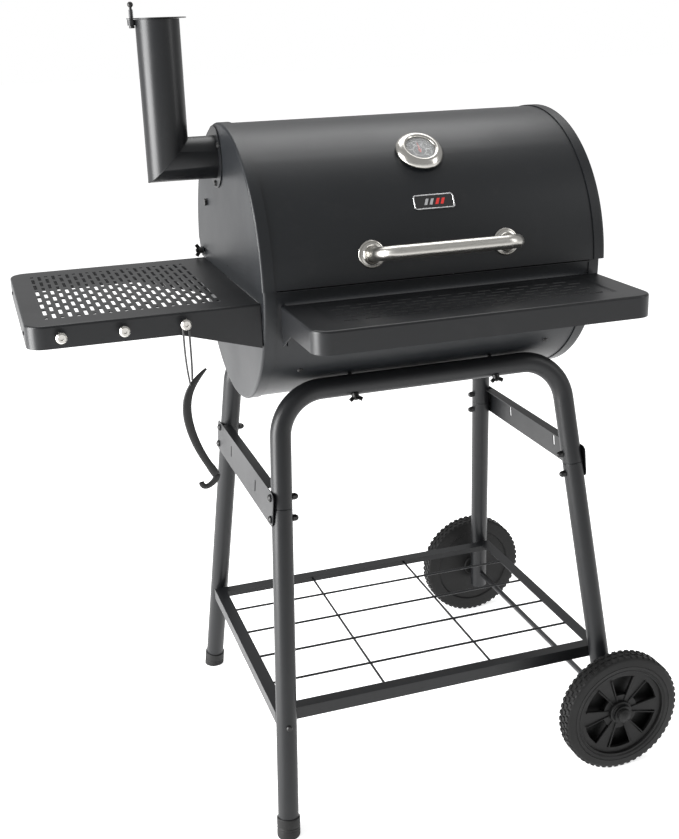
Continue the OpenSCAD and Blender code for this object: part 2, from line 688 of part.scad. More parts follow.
// Takes the lid's lowest edge off: a thin strip in front and a deeper one at the back.
module lid_trim() {
  translate([0, -500, axis_z - 10]) cube([1000, 1000, 22], center = true);
  translate([-500, 60, axis_z - 10]) cube([1000, 300, back_trim + 10]);
}
module lid_cap(sx) {
  side = sx < 0 ? 1 : 0;
  color(black) difference() {
    union() {
      mirror([side, 0, 0]) difference() {
        half_turn() cap_section(lid_cap_r, lid_end_x, rim_w);
        lid_trim();
      }
      mirror([side, 0, 0]) translate([lid_end_x - sheet, 0, 0]) along_x(0, sheet) polygon([
        [55, axis_z + back_trim + 1], [55, axis_z + 1], [pivot_y - 12, axis_z + 1],
        for (a = [180:15:330]) [pivot_y + 10 * cos(a), pivot_z + 10 * sin(a)],
        [lid_cap_r - 5, axis_z + back_trim + 1]
      ]);
    }
    translate([0, pivot_y, pivot_z]) rotate([0, 90, 0]) cylinder(r = 3 + fit, h = 1000, center = true);
    translate([0, 124, 919]) rotate([0, 90, 0]) cylinder(r = 3.2, h = 1000, center = true);
    if (sx < 0) {
      translate([-lid_end_x, flue_y, flue_z]) rotate([0, 90, 0]) cylinder(r = flue_r - 2, h = 20, center = true);
      flange_bolts_at() cylinder(r = 2.8, h = 20, center = true);
    }
  }
}
module lid_left_cap() { lid_cap(-1); }
module lid_right_cap() { lid_cap(1); }
// A screw and nut through each lid cap, well above the pivot.
module lid_cap_bolts() {
  color(black) for (sx = [-1, 1]) translate([sx * lid_end_x, 124, 919]) rotate([0, sx * 90, 0]) {
    translate([0, 0, 0.1]) hex(10, 4);
    translate([0, 0, -12]) cylinder(r = 3, h = 13);
  }
}

// The two bolts that the lid turns on, and the wing nuts that hold it.
module hinge_bolts() {
  color(black) for (sx = [-1, 1]) translate([sx * (bowl_end_x - sheet), pivot_y, pivot_z])
    rotate([0, sx * 90, 0]) {
      translate([0, 0, -4.1]) cylinder(r1 = 5, r2 = 6, h = 4);
      translate([0, 0, -1]) cylinder(r = 3, h = lid_end_x - bowl_end_x + sheet + 12);
    }
}
module hinge_wing_nuts() {
  color(black) for (sx = [-1, 1]) translate([sx * (lid_end_x + gap), pivot_y, pivot_z])
    rotate([0, sx * 90, 0]) wing_nut(3);
}

// ---- handle ----

handle_reach = 59;        // from the lid's sheet to the grip's centre line
handle_bend = 28;
escutcheon_h = 9;
// Draws in the handle's own plane: X along the lid, +Z out of it.
module handle_frame() { on_lid(0, handle_angle, lid_r) children(); }
module lid_handle() {
  r = handle_d / 2;
  inner = r - 2;
  color(steel) handle_frame() {
    pipe([-handle_x + handle_bend, 0, handle_reach], [handle_x - handle_bend, 0, handle_reach], r, inner);
    for (side = [0, 1]) mirror([side, 0, 0]) {
      bend([handle_x - handle_bend, 0, handle_reach - handle_bend], handle_bend, r, inner, 0, 90);
      difference() {
        translate([handle_x, 0, 1.5]) cylinder(r = r, h = handle_reach - handle_bend - 1.5);
        translate([handle_x, 0, 12]) cylinder(r = inner, h = handle_reach);
        translate([handle_x, 0, 0]) cylinder(r = 3.1, h = 14);
      }
    }
  }
}
// Flared stainless rings where the posts meet the lid.
module handle_escutcheons() {
  base = handle_d / 2 + 10;
  neck = handle_d / 2 + 0.2;
  color(steel) handle_frame() for (side = [-1, 1]) translate([side * handle_x, 0, 0.1])
    rotate_extrude() polygon([
      [neck, 0], [base, 0], [base, 1.2], [base - 1.5, 2.4], [base - 4.5, 2.6],
      for (a = [0:15:75]) [neck + 5.5 - 4 * sin(a), 2.6 + 5.5 * (1 - cos(a))],
      [neck + 1.2, escutcheon_h], [neck, escutcheon_h]
    ]);
}
module handle_screws() {
  color(steel) handle_frame() for (side = [-1, 1]) translate([side * handle_x, 0, 0]) {
    translate([0, 0, -sheet - 4]) hex(10, 3.8);
    translate([0, 0, -sheet - 1]) cylinder(r = 3, h = 14);
  }
}

// ---- thermometer ----

gauge_lift = 0.4;
module gauge_frame() { on_lid(0, gauge_angle, lid_r + gauge_lift) children(); }
dial_r = gauge_r * 0.6;
// A domed chrome ring round a sunk dial, closed at the back.
module gauge_bezel() {
  color(steel) gauge_frame() rotate_extrude($fn = 96) polygon([
    [5.2, 0], [gauge_r - 3, 0], [gauge_r, 2], [gauge_r, 4.5],
    for (a = [10:16:90]) [dial_r + 1 + (gauge_r - dial_r - 1.6) * cos(a), 4.5 + 8 * sin(a)],
    [dial_r, 11.5], [dial_r, 2], [5.2, 2]
  ]);
}
module gauge_dial() {
  color([0.2, 0.2, 0.21]) gauge_frame() translate([0, 0, 3.5]) difference() {
    cylinder(r = dial_r - 0.3, h = 1);
    translate([0, 0, -1]) cylinder(r = 1.3, h = 3);
  }
}
module gauge_needle() {
  color([0.85, 0.2, 0.15]) gauge_frame() translate([0, 0, 5.2]) difference() {
    union() {
      cylinder(r = 2.4, h = 1);
      linear_extrude(0.8) polygon([[-1.2, -5], [1.2, -5], [0.3, dial_r - 6], [-0.3, dial_r - 6]]);
    }
    translate([0, 0, -1]) cylinder(r = 1 + fit, h = 3);
  }
}
module gauge_lens() {
  color([0.8, 0.85, 0.88, 0.4]) gauge_frame() translate([0, 0, 8]) cylinder(r = dial_r - 0.2, h = 1.6);
}
// The probe that reaches into the lid; its top carries the needle.
module gauge_stem() {
  color(steel) gauge_frame() {
    translate([0, 0, -62]) cylinder(r = 3, h = 59);
    translate([0, 0, -3]) cylinder(r = 4.8, h = 6);
    translate([0, 0, 3]) cylinder(r = 1, h = 3.8);
  }
}
module gauge_nut() {
  color(steel) gauge_frame() translate([0, 0, -gauge_lift - sheet - 6.4]) difference() {
    union() {
      hex(14, 5);
      translate([0, 0, 5]) cylinder(r = 10, h = 1);
    }
    translate([0, 0, -1]) cylinder(r = 4.85, h = 8);
  }
}

// ---- badge ----

module badge_outline(w, h, r) { offset(r = r) square([w - 2 * r, h - 2 * r], center = true); }
module badge_at() { on_lid(0, badge_angle, lid_r + 0.1) children(); }
module badge() { color(black) badge_at() linear_extrude(1.6) badge_outline(58.6, 18.6, 3); }
module badge_frame() {
  color(steel) badge_at() linear_extrude(2.4) difference() {
    badge_outline(62, 22, 4.5);
    badge_outline(59, 19, 3.2);
  }
}

// ---- chimney ----

module flange_bolts_at() {
  for (a = [30, 150, 270]) translate([-lid_end_x, flue_y + 39.5 * cos(a), flue_z + 39.5 * sin(a)])
    rotate([0, -90, 0]) children();
}
module chimney_flange() {
  color(black) difference() {
    translate([-lid_end_x - 2.1, flue_y, flue_z]) rotate([0, 90, 0]) cylinder(r = flange_r, h = 2);
    translate([-lid_end_x, flue_y, flue_z]) rotate([0, 90, 0]) cylinder(r = flue_r + 0.1, h = 30, center = true);
    flange_bolts_at() cylinder(r = 2.8, h = 20, center = true);
  }
}
// The mitred elbow's solid of one radius: the level part and the upright one, cut at 45 degrees.
module flue_solid(r, top, inner_x) {
  translate([-flue_x, flue_y, flue_z]) {
    difference() {
      translate([0, 0, -2 * r]) cylinder(r = r, h = top - flue_z + 2 * r);
      rotate([0, 45, 0]) translate([0, -2 * r, -6 * r]) cube([6 * r, 4 * r, 12 * r]);
    }
    difference() {
      translate([-2 * r, 0, 0]) rotate([0, 90, 0]) cylinder(r = r, h = inner_x + flue_x + 2 * r);
      rotate([0, 45, 0]) translate([-6 * r, -2 * r, -6 * r]) cube([6 * r, 4 * r, 12 * r]);
    }
  }
}
pin_x = -flue_x - flue_r - 5;
module chimney_tube() {
  color(black) difference() {
    union() {
      flue_solid(flue_r, flue_top_z, -lid_end_x - 0.1);
      translate([pin_x, flue_y, flue_top_z - 8]) cylinder(r = 6, h = 8);
      translate([pin_x, flue_y - 6, flue_top_z - 8]) cube([8, 12, 8]);
    }
    flue_solid(flue_r - flue_wall, flue_top_z + 10, -lid_end_x + 10);
    translate([pin_x, flue_y, flue_top_z - 20]) cylinder(r = 2.5, h = 40);
  }
}
module chimney_bolts() {
  color(black) flange_bolts_at() {
    translate([0, 0, 2.2]) cylinder(r1 = 5, r2 = 3.5, h = 2.6);
    translate([0, 0, -8]) cylinder(r = 2.5, h = 10.4);
    translate([0, 0, -sheet - 4]) hex(8, 3.8);
  }
}
// The pin that the damper turns on, with its spring's sleeve and ball knob.
module damper_pin() {
  color(black) translate([pin_x, flue_y, flue_top_z]) {
    translate([0, 0, -12]) cylinder(r = 4, h = 3.9);
    translate([0, 0, -9]) cylinder(r = 2.45, h = 28);
    translate([0, 0, 2.6]) cylinder(r = 3.4, h = 11);
    translate([0, 0, 20.5]) sphere(r = 4.2);
  }
}
damper_r = 38;
module damper_flap() {
  color(black) translate([pin_x, flue_y, flue_top_z + gap]) difference() {
    union() {
      translate([damper_r + 3, 0, 0]) cylinder(r = damper_r, h = 1.5);
      cylinder(r = 7, h = 1.5);
      translate([0, -7, 0]) cube([14, 14, 1.5]);
    }
    translate([0, 0, -1]) cylinder(r = 2.45 + fit, h = 4);
  }
}

// ---- grate lifter ----

lifter_y = -side_y - 9;
// The lifter's middle line, from the tip down to the claw, as [x, z, half width].
lifter_line = [
  [-348, 736, 1.2], [-354, 731, 2.2], [-361, 724, 3.2], [-369, 714, 4], [-376, 701, 4.6],
  [-379, 686, 4.8], [-378, 668, 4.8], [-374, 648, 4.6], [-368, 628, 4.3], [-360, 609, 4],
  [-351, 592, 3.6]
];
module lifter_step(a, b) {
  hull() for (p = [a, b]) translate([p.x, lifter_y, p.y]) rotate([90, 0, 0])
    cylinder(r = p.z, h = 5, center = true, $fn = 16);
}
module grate_lifter() {
  color(plastic) difference() {
    union() {
      for (i = [0:len(lifter_line) - 2]) lifter_step(lifter_line[i], lifter_line[i + 1]);
      lifter_step([-351, 592, 4.6], [-343, 577, 4.6]);
      lifter_step([-343, 577, 4.2], [-362, 561, 3.2]);
      lifter_step([-362, 561, 3.6], [-366, 568, 3.6]);
    }
    translate([-369, lifter_y, 714]) rotate([90, 0, 0]) cylinder(r = 1.8, h = 20, center = true);
  }
}
// The thin strap's loop: over the hook's stem, down both sides, through the lifter's eye.
module lifter_lanyard() {
  strap = 1.2;
  bar = 3 + 0.4;
  color([0.06, 0.06, 0.06]) translate([0, lifter_y + 1.5, 0]) rotate([90, 0, 0]) linear_extrude(3)
    difference() {
      hull() {
        translate([hook_x[2], hook_z]) circle(r = bar + strap, $fn = 32);
        translate([-369, 714]) circle(r = 1.6, $fn = 32);
      }
      hull() {
        translate([hook_x[2], hook_z]) circle(r = bar, $fn = 32);
        translate([-369, 716]) circle(r = 0.4, $fn = 32);
      }
    }
}

placed() front_leg_frame();
placed() rear_leg_frame();
placed() front_left_lower_leg();
placed() rear_left_lower_leg();
placed() front_right_lower_leg();
placed() rear_right_lower_leg();
placed() front_left_foot();
placed() rear_left_foot();
placed() left_brace();
placed() right_brace();
placed() brace_bolts();
placed() brace_nuts();
placed() rack_frame();
placed() rack_wires();
placed() rack_screws();
placed() axle();
placed() axle_spacers();
placed() axle_caps();
placed() front_wheel();
placed() rear_wheel();
placed() bowl_shell();
placed() bowl_left_cap();
placed() bowl_right_cap();
placed() bowl_mount_bolts();
placed() bowl_wing_nuts();
placed() grate_ledges();
placed() left_cooking_grate();
placed() right_cooking_grate();
placed() charcoal_ledges();
placed() charcoal_grate();
placed() ledge_rivets();
placed() side_shelf();
placed() side_shelf_hooks();
placed() side_shelf_bolts();
placed() front_shelf();
placed() front_shelf_bolts();
placed() lid_shell();
placed() lid_left_cap();
placed() lid_right_cap();
placed() lid_cap_bolts();
placed() hinge_bolts();
placed() hinge_wing_nuts();
placed() lid_handle();
placed() handle_escutcheons();
placed() handle_screws();
placed() gauge_bezel();
placed() gauge_dial();
placed() gauge_needle();
placed() gauge_lens();
placed() gauge_stem();
placed() gauge_nut();
placed() badge();
placed() badge_frame();
placed() chimney_flange();
placed() chimney_tube();
placed() chimney_bolts();
placed() damper_pin();
placed() damper_flap();
placed() grate_lifter();
placed() lifter_lanyard();
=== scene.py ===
"""Looks of a barrel charcoal grill with a side chimney on a two-wheeled tube stand.

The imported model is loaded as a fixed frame. Each class below builds one sub-assembly's finished
meshes around it, in metres, dresses them in procedural finishes and lets them ride on its bodies.
"""

from __future__ import annotations

import logging
import math
from contextlib import contextmanager
from dataclasses import dataclass
from enum import Enum
from typing import Callable, Iterator, Sequence

import bmesh
import bpy
from mathutils import Matrix, Vector

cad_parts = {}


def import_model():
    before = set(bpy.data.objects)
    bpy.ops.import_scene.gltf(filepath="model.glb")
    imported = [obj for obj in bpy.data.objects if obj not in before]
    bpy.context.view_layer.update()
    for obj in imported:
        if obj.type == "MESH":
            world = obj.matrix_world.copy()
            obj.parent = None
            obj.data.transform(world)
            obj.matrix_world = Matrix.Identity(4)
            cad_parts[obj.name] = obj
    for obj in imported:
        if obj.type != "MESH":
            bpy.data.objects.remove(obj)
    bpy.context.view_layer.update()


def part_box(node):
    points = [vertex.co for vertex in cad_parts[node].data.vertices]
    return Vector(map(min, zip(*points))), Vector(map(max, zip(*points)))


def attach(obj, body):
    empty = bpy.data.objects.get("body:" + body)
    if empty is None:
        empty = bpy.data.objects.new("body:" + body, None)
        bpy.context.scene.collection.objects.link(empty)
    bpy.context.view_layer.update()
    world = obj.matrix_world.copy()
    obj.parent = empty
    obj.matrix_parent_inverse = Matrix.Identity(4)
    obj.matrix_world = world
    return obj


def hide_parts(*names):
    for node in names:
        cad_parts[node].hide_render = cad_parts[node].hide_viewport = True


log = logging.getLogger("grill")

MM = 0.001
SHEET = 1.5 * MM
Test = Callable[[Vector, Vector], bool]


class Pick(Enum):
    """What a selection is made of."""

    VERTS = "VERT"
    EDGES = "EDGE"
    FACES = "FACE"


class Grain(Enum):
    """The direction in which a metal was brushed."""

    ALONG_X = (1.0, 40.0, 40.0)
    ALONG_Z = (40.0, 40.0, 1.0)
    CROSSED = (30.0, 30.0, 30.0)


# ---- places ----


@dataclass(frozen=True)
class Layout:
    """Where the stand's middle and the barrel's axis lie in the row frame."""

    x: float
    y: float
    axis_z: float = 0.837

    @classmethod
    def from_frame(cls) -> "Layout":
        """Reads the stand's middle from the lid's shell and from the axle."""
        lid_low, lid_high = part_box("lid_shell")
        axle_low, axle_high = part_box("axle")
        return cls((lid_low.x + lid_high.x) / 2, (axle_low.y + axle_high.y) / 2)

    def at(self, x: float, y: float, z: float) -> Vector:
        """A point given from the stand's middle, in the row frame."""
        return Vector((self.x + x, self.y + y, z))

    def on_lid(self, angle: float) -> "LidFace":
        """The lid's surface at an angle above the split, in degrees."""
        return LidFace(self, math.radians(angle))


@dataclass(frozen=True)
class LidFace:
    """A place round the lid, with its outward and upward directions."""

    layout: Layout
    angle: float

    @property
    def out(self) -> Vector:
        """Straight out of the sheet."""
        return Vector((0, -math.cos(self.angle), math.sin(self.angle)))

    @property
    def up(self) -> Vector:
        """Up along the sheet."""
        return Vector((0, math.sin(self.angle), math.cos(self.angle)))

    def at(self, x: float, up: float, radius: float) -> Vector:
        """A point at a radius from the barrel's axis, shifted along the lid and up the sheet."""
        middle = self.layout.at(x, 0, self.layout.axis_z)
        return middle + self.out * radius + self.up * up


# ---- modelling by hand ----


def deselect() -> None:
    """Clears the selection."""
    bpy.ops.object.select_all(action="DESELECT")


def activate(piece: bpy.types.Object) -> None:
    """Makes a piece the only selected and active one."""
    deselect()
    piece.select_set(True)
    bpy.context.view_layer.objects.active = piece


@contextmanager
def editing(piece: bpy.types.Object, pick: Pick = Pick.FACES) -> Iterator[None]:
    """Opens a piece in edit mode with nothing selected.

    Args:
        piece: The mesh to edit.
        pick: What selections are made of.
    """
    activate(piece)
    bpy.ops.object.mode_set(mode="EDIT")
    bpy.ops.mesh.select_mode(type=pick.value)
    bpy.ops.mesh.select_all(action="DESELECT")
    try:
        yield
    finally:
        bpy.ops.object.mode_set(mode="OBJECT")


def pick_faces(piece: bpy.types.Object, test: Test) -> None:
    """Selects the faces whose centre and normal pass a test, and clears the others.

    Args:
        piece: The mesh in edit mode.
        test: Says whether a face is wanted.
    """
    mesh = bmesh.from_edit_mesh(piece.data)
    for face in mesh.faces:
        face.select_set(False)
    for face in mesh.faces:
        if test(face.calc_center_median(), face.normal):
            face.select_set(True)
    mesh.select_flush_mode()
    bmesh.update_edit_mesh(piece.data)


def pick_edges(piece: bpy.types.Object, test: Test) -> None:
    """Selects the edges whose middle and direction pass a test, and clears the others.

    Args:
        piece: The mesh in edit mode.
        test: Says whether an edge is wanted.
    """
    mesh = bmesh.from_edit_mesh(piece.data)
    for edge in mesh.edges:
        edge.select_set(False)
    for edge in mesh.edges:
        a, b = (v.co for v in edge.verts)
        if test((a + b) / 2, (b - a).normalized()):
            edge.select_set(True)
    bmesh.update_edit_mesh(piece.data)


def pick_verts(piece: bpy.types.Object, test: Callable[[Vector], bool]) -> None:
    """Selects the vertices whose place passes a test, and clears the others.

    Args:
        piece: The mesh in edit mode.
        test: Says whether a vertex is wanted.
    """
    mesh = bmesh.from_edit_mesh(piece.data)
    for vert in mesh.verts:
        vert.select_set(test(vert.co))
    mesh.select_flush_mode()
    bmesh.update_edit_mesh(piece.data)


def settle(piece: bpy.types.Object) -> None:
    """Puts a piece's place, turn and scale into its mesh."""
    activate(piece)
    bpy.ops.object.transform_apply(location=True, rotation=True, scale=True)


def close_up(piece: bpy.types.Object, distance: float = 1e-6) -> None:
    """Merges doubles and turns all faces outwards.

    Args:
        piece: The mesh to clean.
        distance: How near two vertices are to count as one.
    """
    with editing(piece, Pick.VERTS):
        bpy.ops.mesh.select_all(action="SELECT")
        bpy.ops.mesh.remove_doubles(threshold=distance)
        bpy.ops.mesh.normals_make_consistent(inside=False)


def modify(piece: bpy.types.Object, kind: str, **settings: object) -> None:
    """Adds a modifier with its settings and applies it.

    Args:
        piece: The mesh to change.
        kind: The modifier's type, such as BEVEL.
        settings: The modifier's properties.
    """
    activate(piece)
    modifier = piece.modifiers.new(kind.lower(), kind)
    for name, value in settings.items():
        setattr(modifier, name, value)
    bpy.ops.object.modifier_apply(modifier=modifier.name)


def soften(piece: bpy.types.Object, width: float, segments: int = 2, angle: float = 30) -> None:
    """Rounds every edge that is sharper than an angle in degrees.

    Args:
        piece: The mesh to change.
        width: How far the rounding reaches from each edge.
        segments: Steps in the rounding.
        angle: The angle between faces above which an edge is rounded.
    """
    modify(
        piece, "BEVEL", width=width, segments=segments, limit_method="ANGLE",
        angle_limit=math.radians(angle), use_clamp_overlap=True,
    )


def smooth(piece: bpy.types.Object, angle: float = 38) -> None:
    """Shades a piece smooth up to an angle in degrees, with its broad faces kept flat.

    Args:
        piece: The mesh to shade.
        angle: The sharpest angle that is still shaded smooth.
    """
    activate(piece)
    bpy.ops.object.shade_smooth_by_angle(angle=math.radians(angle))
    modify(piece, "WEIGHTED_NORMAL", keep_sharp=True, weight=90)


def box_piece(name: str, low: Vector, high: Vector) -> bpy.types.Object:
    """A block between two corners, to be shaped further.

    Args:
        name: The new piece's name.
        low: Its lowest corner.
        high: Its highest corner.

    Returns:
        The block.
    """
    deselect()
    bpy.ops.mesh.primitive_cube_add(size=1, location=(low + high) / 2)
    piece = bpy.context.active_object
    piece.name = name
    piece.scale = high - low
    settle(piece)
    return piece


def rod_piece(name: str, a: Vector, b: Vector, radius: float, sides: int = 32) -> bpy.types.Object:
    """A round rod between two points.

    Args:
        name: The new piece's name.
        a: The middle of one end.
        b: The middle of the other.
        radius: The rod's radius.
        sides: Faces round the rod.

    Returns:
        The rod.
    """
    deselect()
    bpy.ops.mesh.primitive_cylinder_add(
        vertices=sides, radius=radius, depth=(b - a).length, location=(a + b) / 2,
        rotation=(b - a).to_track_quat("Z", "Y").to_euler(),
    )
    piece = bpy.context.active_object
    piece.name = name
    settle(piece)
    return piece


def trace(name: str, points: Sequence[Vector], closed: bool = False) -> bpy.types.Object:
    """Draws a line of edges, extruding one vertex from point to point.

    Args:
        name: The new piece's name.
        points: The line's points.
        closed: Whether the last point joins the first.

    Returns:
        The line as a mesh of edges.
    """
    deselect()
    bpy.ops.mesh.primitive_plane_add(size=MM, location=points[0])
    piece = bpy.context.active_object
    piece.name = name
    settle(piece)
    with editing(piece, Pick.VERTS):
        bpy.ops.mesh.select_all(action="SELECT")
        bpy.ops.mesh.merge(type="CENTER")
        for a, b in zip(points, points[1:]):
            bpy.ops.mesh.extrude_vertices_move(TRANSFORM_OT_translate={"value": b - a})
        if closed:
            pick_verts(piece, lambda p: min((p - points[0]).length, (p - points[-1]).length) < 1e-6)
            bpy.ops.mesh.edge_face_add()
    return piece


def lathe(
    name: str, profile: Sequence[tuple[float, float]], centre: Vector, axis: Vector,
    steps: int = 96, turn: float = math.tau, closed: bool = False,
) -> bpy.types.Object:
    """Turns a profile about an axis.

    Args:
        name: The new piece's name.
        profile: Points as (radius, distance along the axis).
        centre: Where the axis distance is nought.
        axis: The axis's direction.
        steps: Steps round the turn.
        turn: The turn, a whole one by default.
        closed: Whether the profile's end joins its start.

    Returns:
        The turned piece, its normals outwards.
    """
    side = axis.orthogonal().normalized()
    points = [centre + side * radius + axis * along for radius, along in profile]
    piece = trace(name, points, closed)
    with editing(piece, Pick.VERTS):
        bpy.ops.mesh.select_all(action="SELECT")
        bpy.ops.mesh.spin(steps=steps, angle=turn, center=centre, axis=axis)
    close_up(piece)
    return piece


def arc(radius: float, start: float, end: float, steps: int, centre: tuple[float, float]) -> list:
    """Points of an arc about a centre, from one angle in degrees to another.

    Args:
        radius: The arc's radius.
        start: The first angle.
        end: The last angle.
        steps: Steps from one to the other.
        centre: The arc's centre.

    Returns:
        The points, one more than the steps.
    """
    angles = [math.radians(start + (end - start) * i / steps) for i in range(steps + 1)]
    return [(centre[0] + radius * math.cos(a), centre[1] + radius * math.sin(a)) for a in angles]


def sweep(
    name: str, points: Sequence[Vector], radius: float | Sequence[float], wall: float = 0,
    sides: int = 32, cyclic: bool = False,
) -> bpy.types.Object:
    """A round tube or rod along a line of points.

    Args:
        name: The new piece's name.
        points: The middle line.
        radius: One radius, or one for each point.
        wall: The tube's wall, or nought for a solid rod.
        sides: Faces round the tube.
        cyclic: Whether the line is a loop.

    Returns:
        The tube as a mesh.
    """
    line = bpy.data.curves.new(name, "CURVE")
    line.dimensions = "3D"
    line.bevel_depth = 1
    line.bevel_resolution = sides // 2 - 2
    line.use_fill_caps = not wall and not cyclic
    line.twist_mode = "MINIMUM"
    spline = line.splines.new("POLY")
    spline.points.add(len(points) - 1)
    radii = radius if isinstance(radius, (list, tuple)) else [radius] * len(points)
    for knot, point, size in zip(spline.points, points, radii):
        knot.co = (*point, 1)
        knot.radius = size
    spline.use_cyclic_u = cyclic
    piece = bpy.data.objects.new(name, line)
    bpy.context.scene.collection.objects.link(piece)
    activate(piece)
    bpy.ops.object.convert(target="MESH")
    piece = bpy.context.active_object
    close_up(piece)
    if wall:
        modify(piece, "SOLIDIFY", thickness=wall, offset=-1)
    return piece


def merged_copy(node: str, name: str) -> bpy.types.Object:
    """A copy of a frame node's mesh as one skin with clean flat faces.

    Args:
        node: The frame node, which stays as it is.
        name: The copy's name.

    Returns:
        The copy.
    """
    piece = bpy.data.objects.new(name, bpy.data.objects[node].data.copy())
    bpy.context.scene.collection.objects.link(piece)
    piece.data.materials.clear()
    activate(piece)
    bpy.ops.mesh.customdata_custom_splitnormals_clear()
    with editing(piece, Pick.VERTS):
        bpy.ops.mesh.select_all(action="SELECT")
        bpy.ops.mesh.remove_doubles(threshold=1e-6)
        bpy.ops.mesh.dissolve_limited(angle_limit=math.radians(1))
    return piece


def duplicate(piece: bpy.types.Object, matrix: Matrix, name: str) -> bpy.types.Object:
    """A copy with its own mesh, moved by a matrix.

    Args:
        piece: The piece to copy.
        matrix: The move.
        name: The copy's name.

    Returns:
        The copy.
    """
    copy = bpy.data.objects.new(name, piece.data.copy())
    copy.data.transform(matrix)
    bpy.context.scene.collection.objects.link(copy)
    return copy


def join(name: str, pieces: Sequence[bpy.types.Object]) -> bpy.types.Object:
    """Makes several meshes one piece.

    Args:
        name: The joined piece's name.
        pieces: The meshes, all of which it takes up.

    Returns:
        The joined piece.
    """
    deselect()
    for piece in pieces:
        piece.select_set(True)
    bpy.context.view_layer.objects.active = pieces[0]
    bpy.ops.object.join()
    pieces[0].name = name
    return pieces[0]


def remove(*pieces: bpy.types.Object) -> None:
    """Deletes helper objects."""
    for piece in pieces:
        bpy.data.objects.remove(piece)


def turned(angle: float, axis: Vector, about: Vector) -> Matrix:
    """A turn in radians about an axis through a point."""
    return Matrix.Translation(about) @ Matrix.Rotation(angle, 4, axis) @ Matrix.Translation(-about)


# ---- finishes ----


def new_group(name: str, inputs: dict[str, float], outputs: Sequence[str]) -> bpy.types.NodeTree:
    """An empty shader group with named number sockets.

    Args:
        name: The group's name.
        inputs: Each input's name and default.
        outputs: The outputs' names.

    Returns:
        The group.
    """
    group = bpy.data.node_groups.new(name, "ShaderNodeTree")
    for label, value in inputs.items():
        socket = group.interface.new_socket(name=label, in_out="INPUT", socket_type="NodeSocketFloat")
        socket.default_value = value
    for label in outputs:
        group.interface.new_socket(name=label, in_out="OUTPUT", socket_type="NodeSocketFloat")
    return group


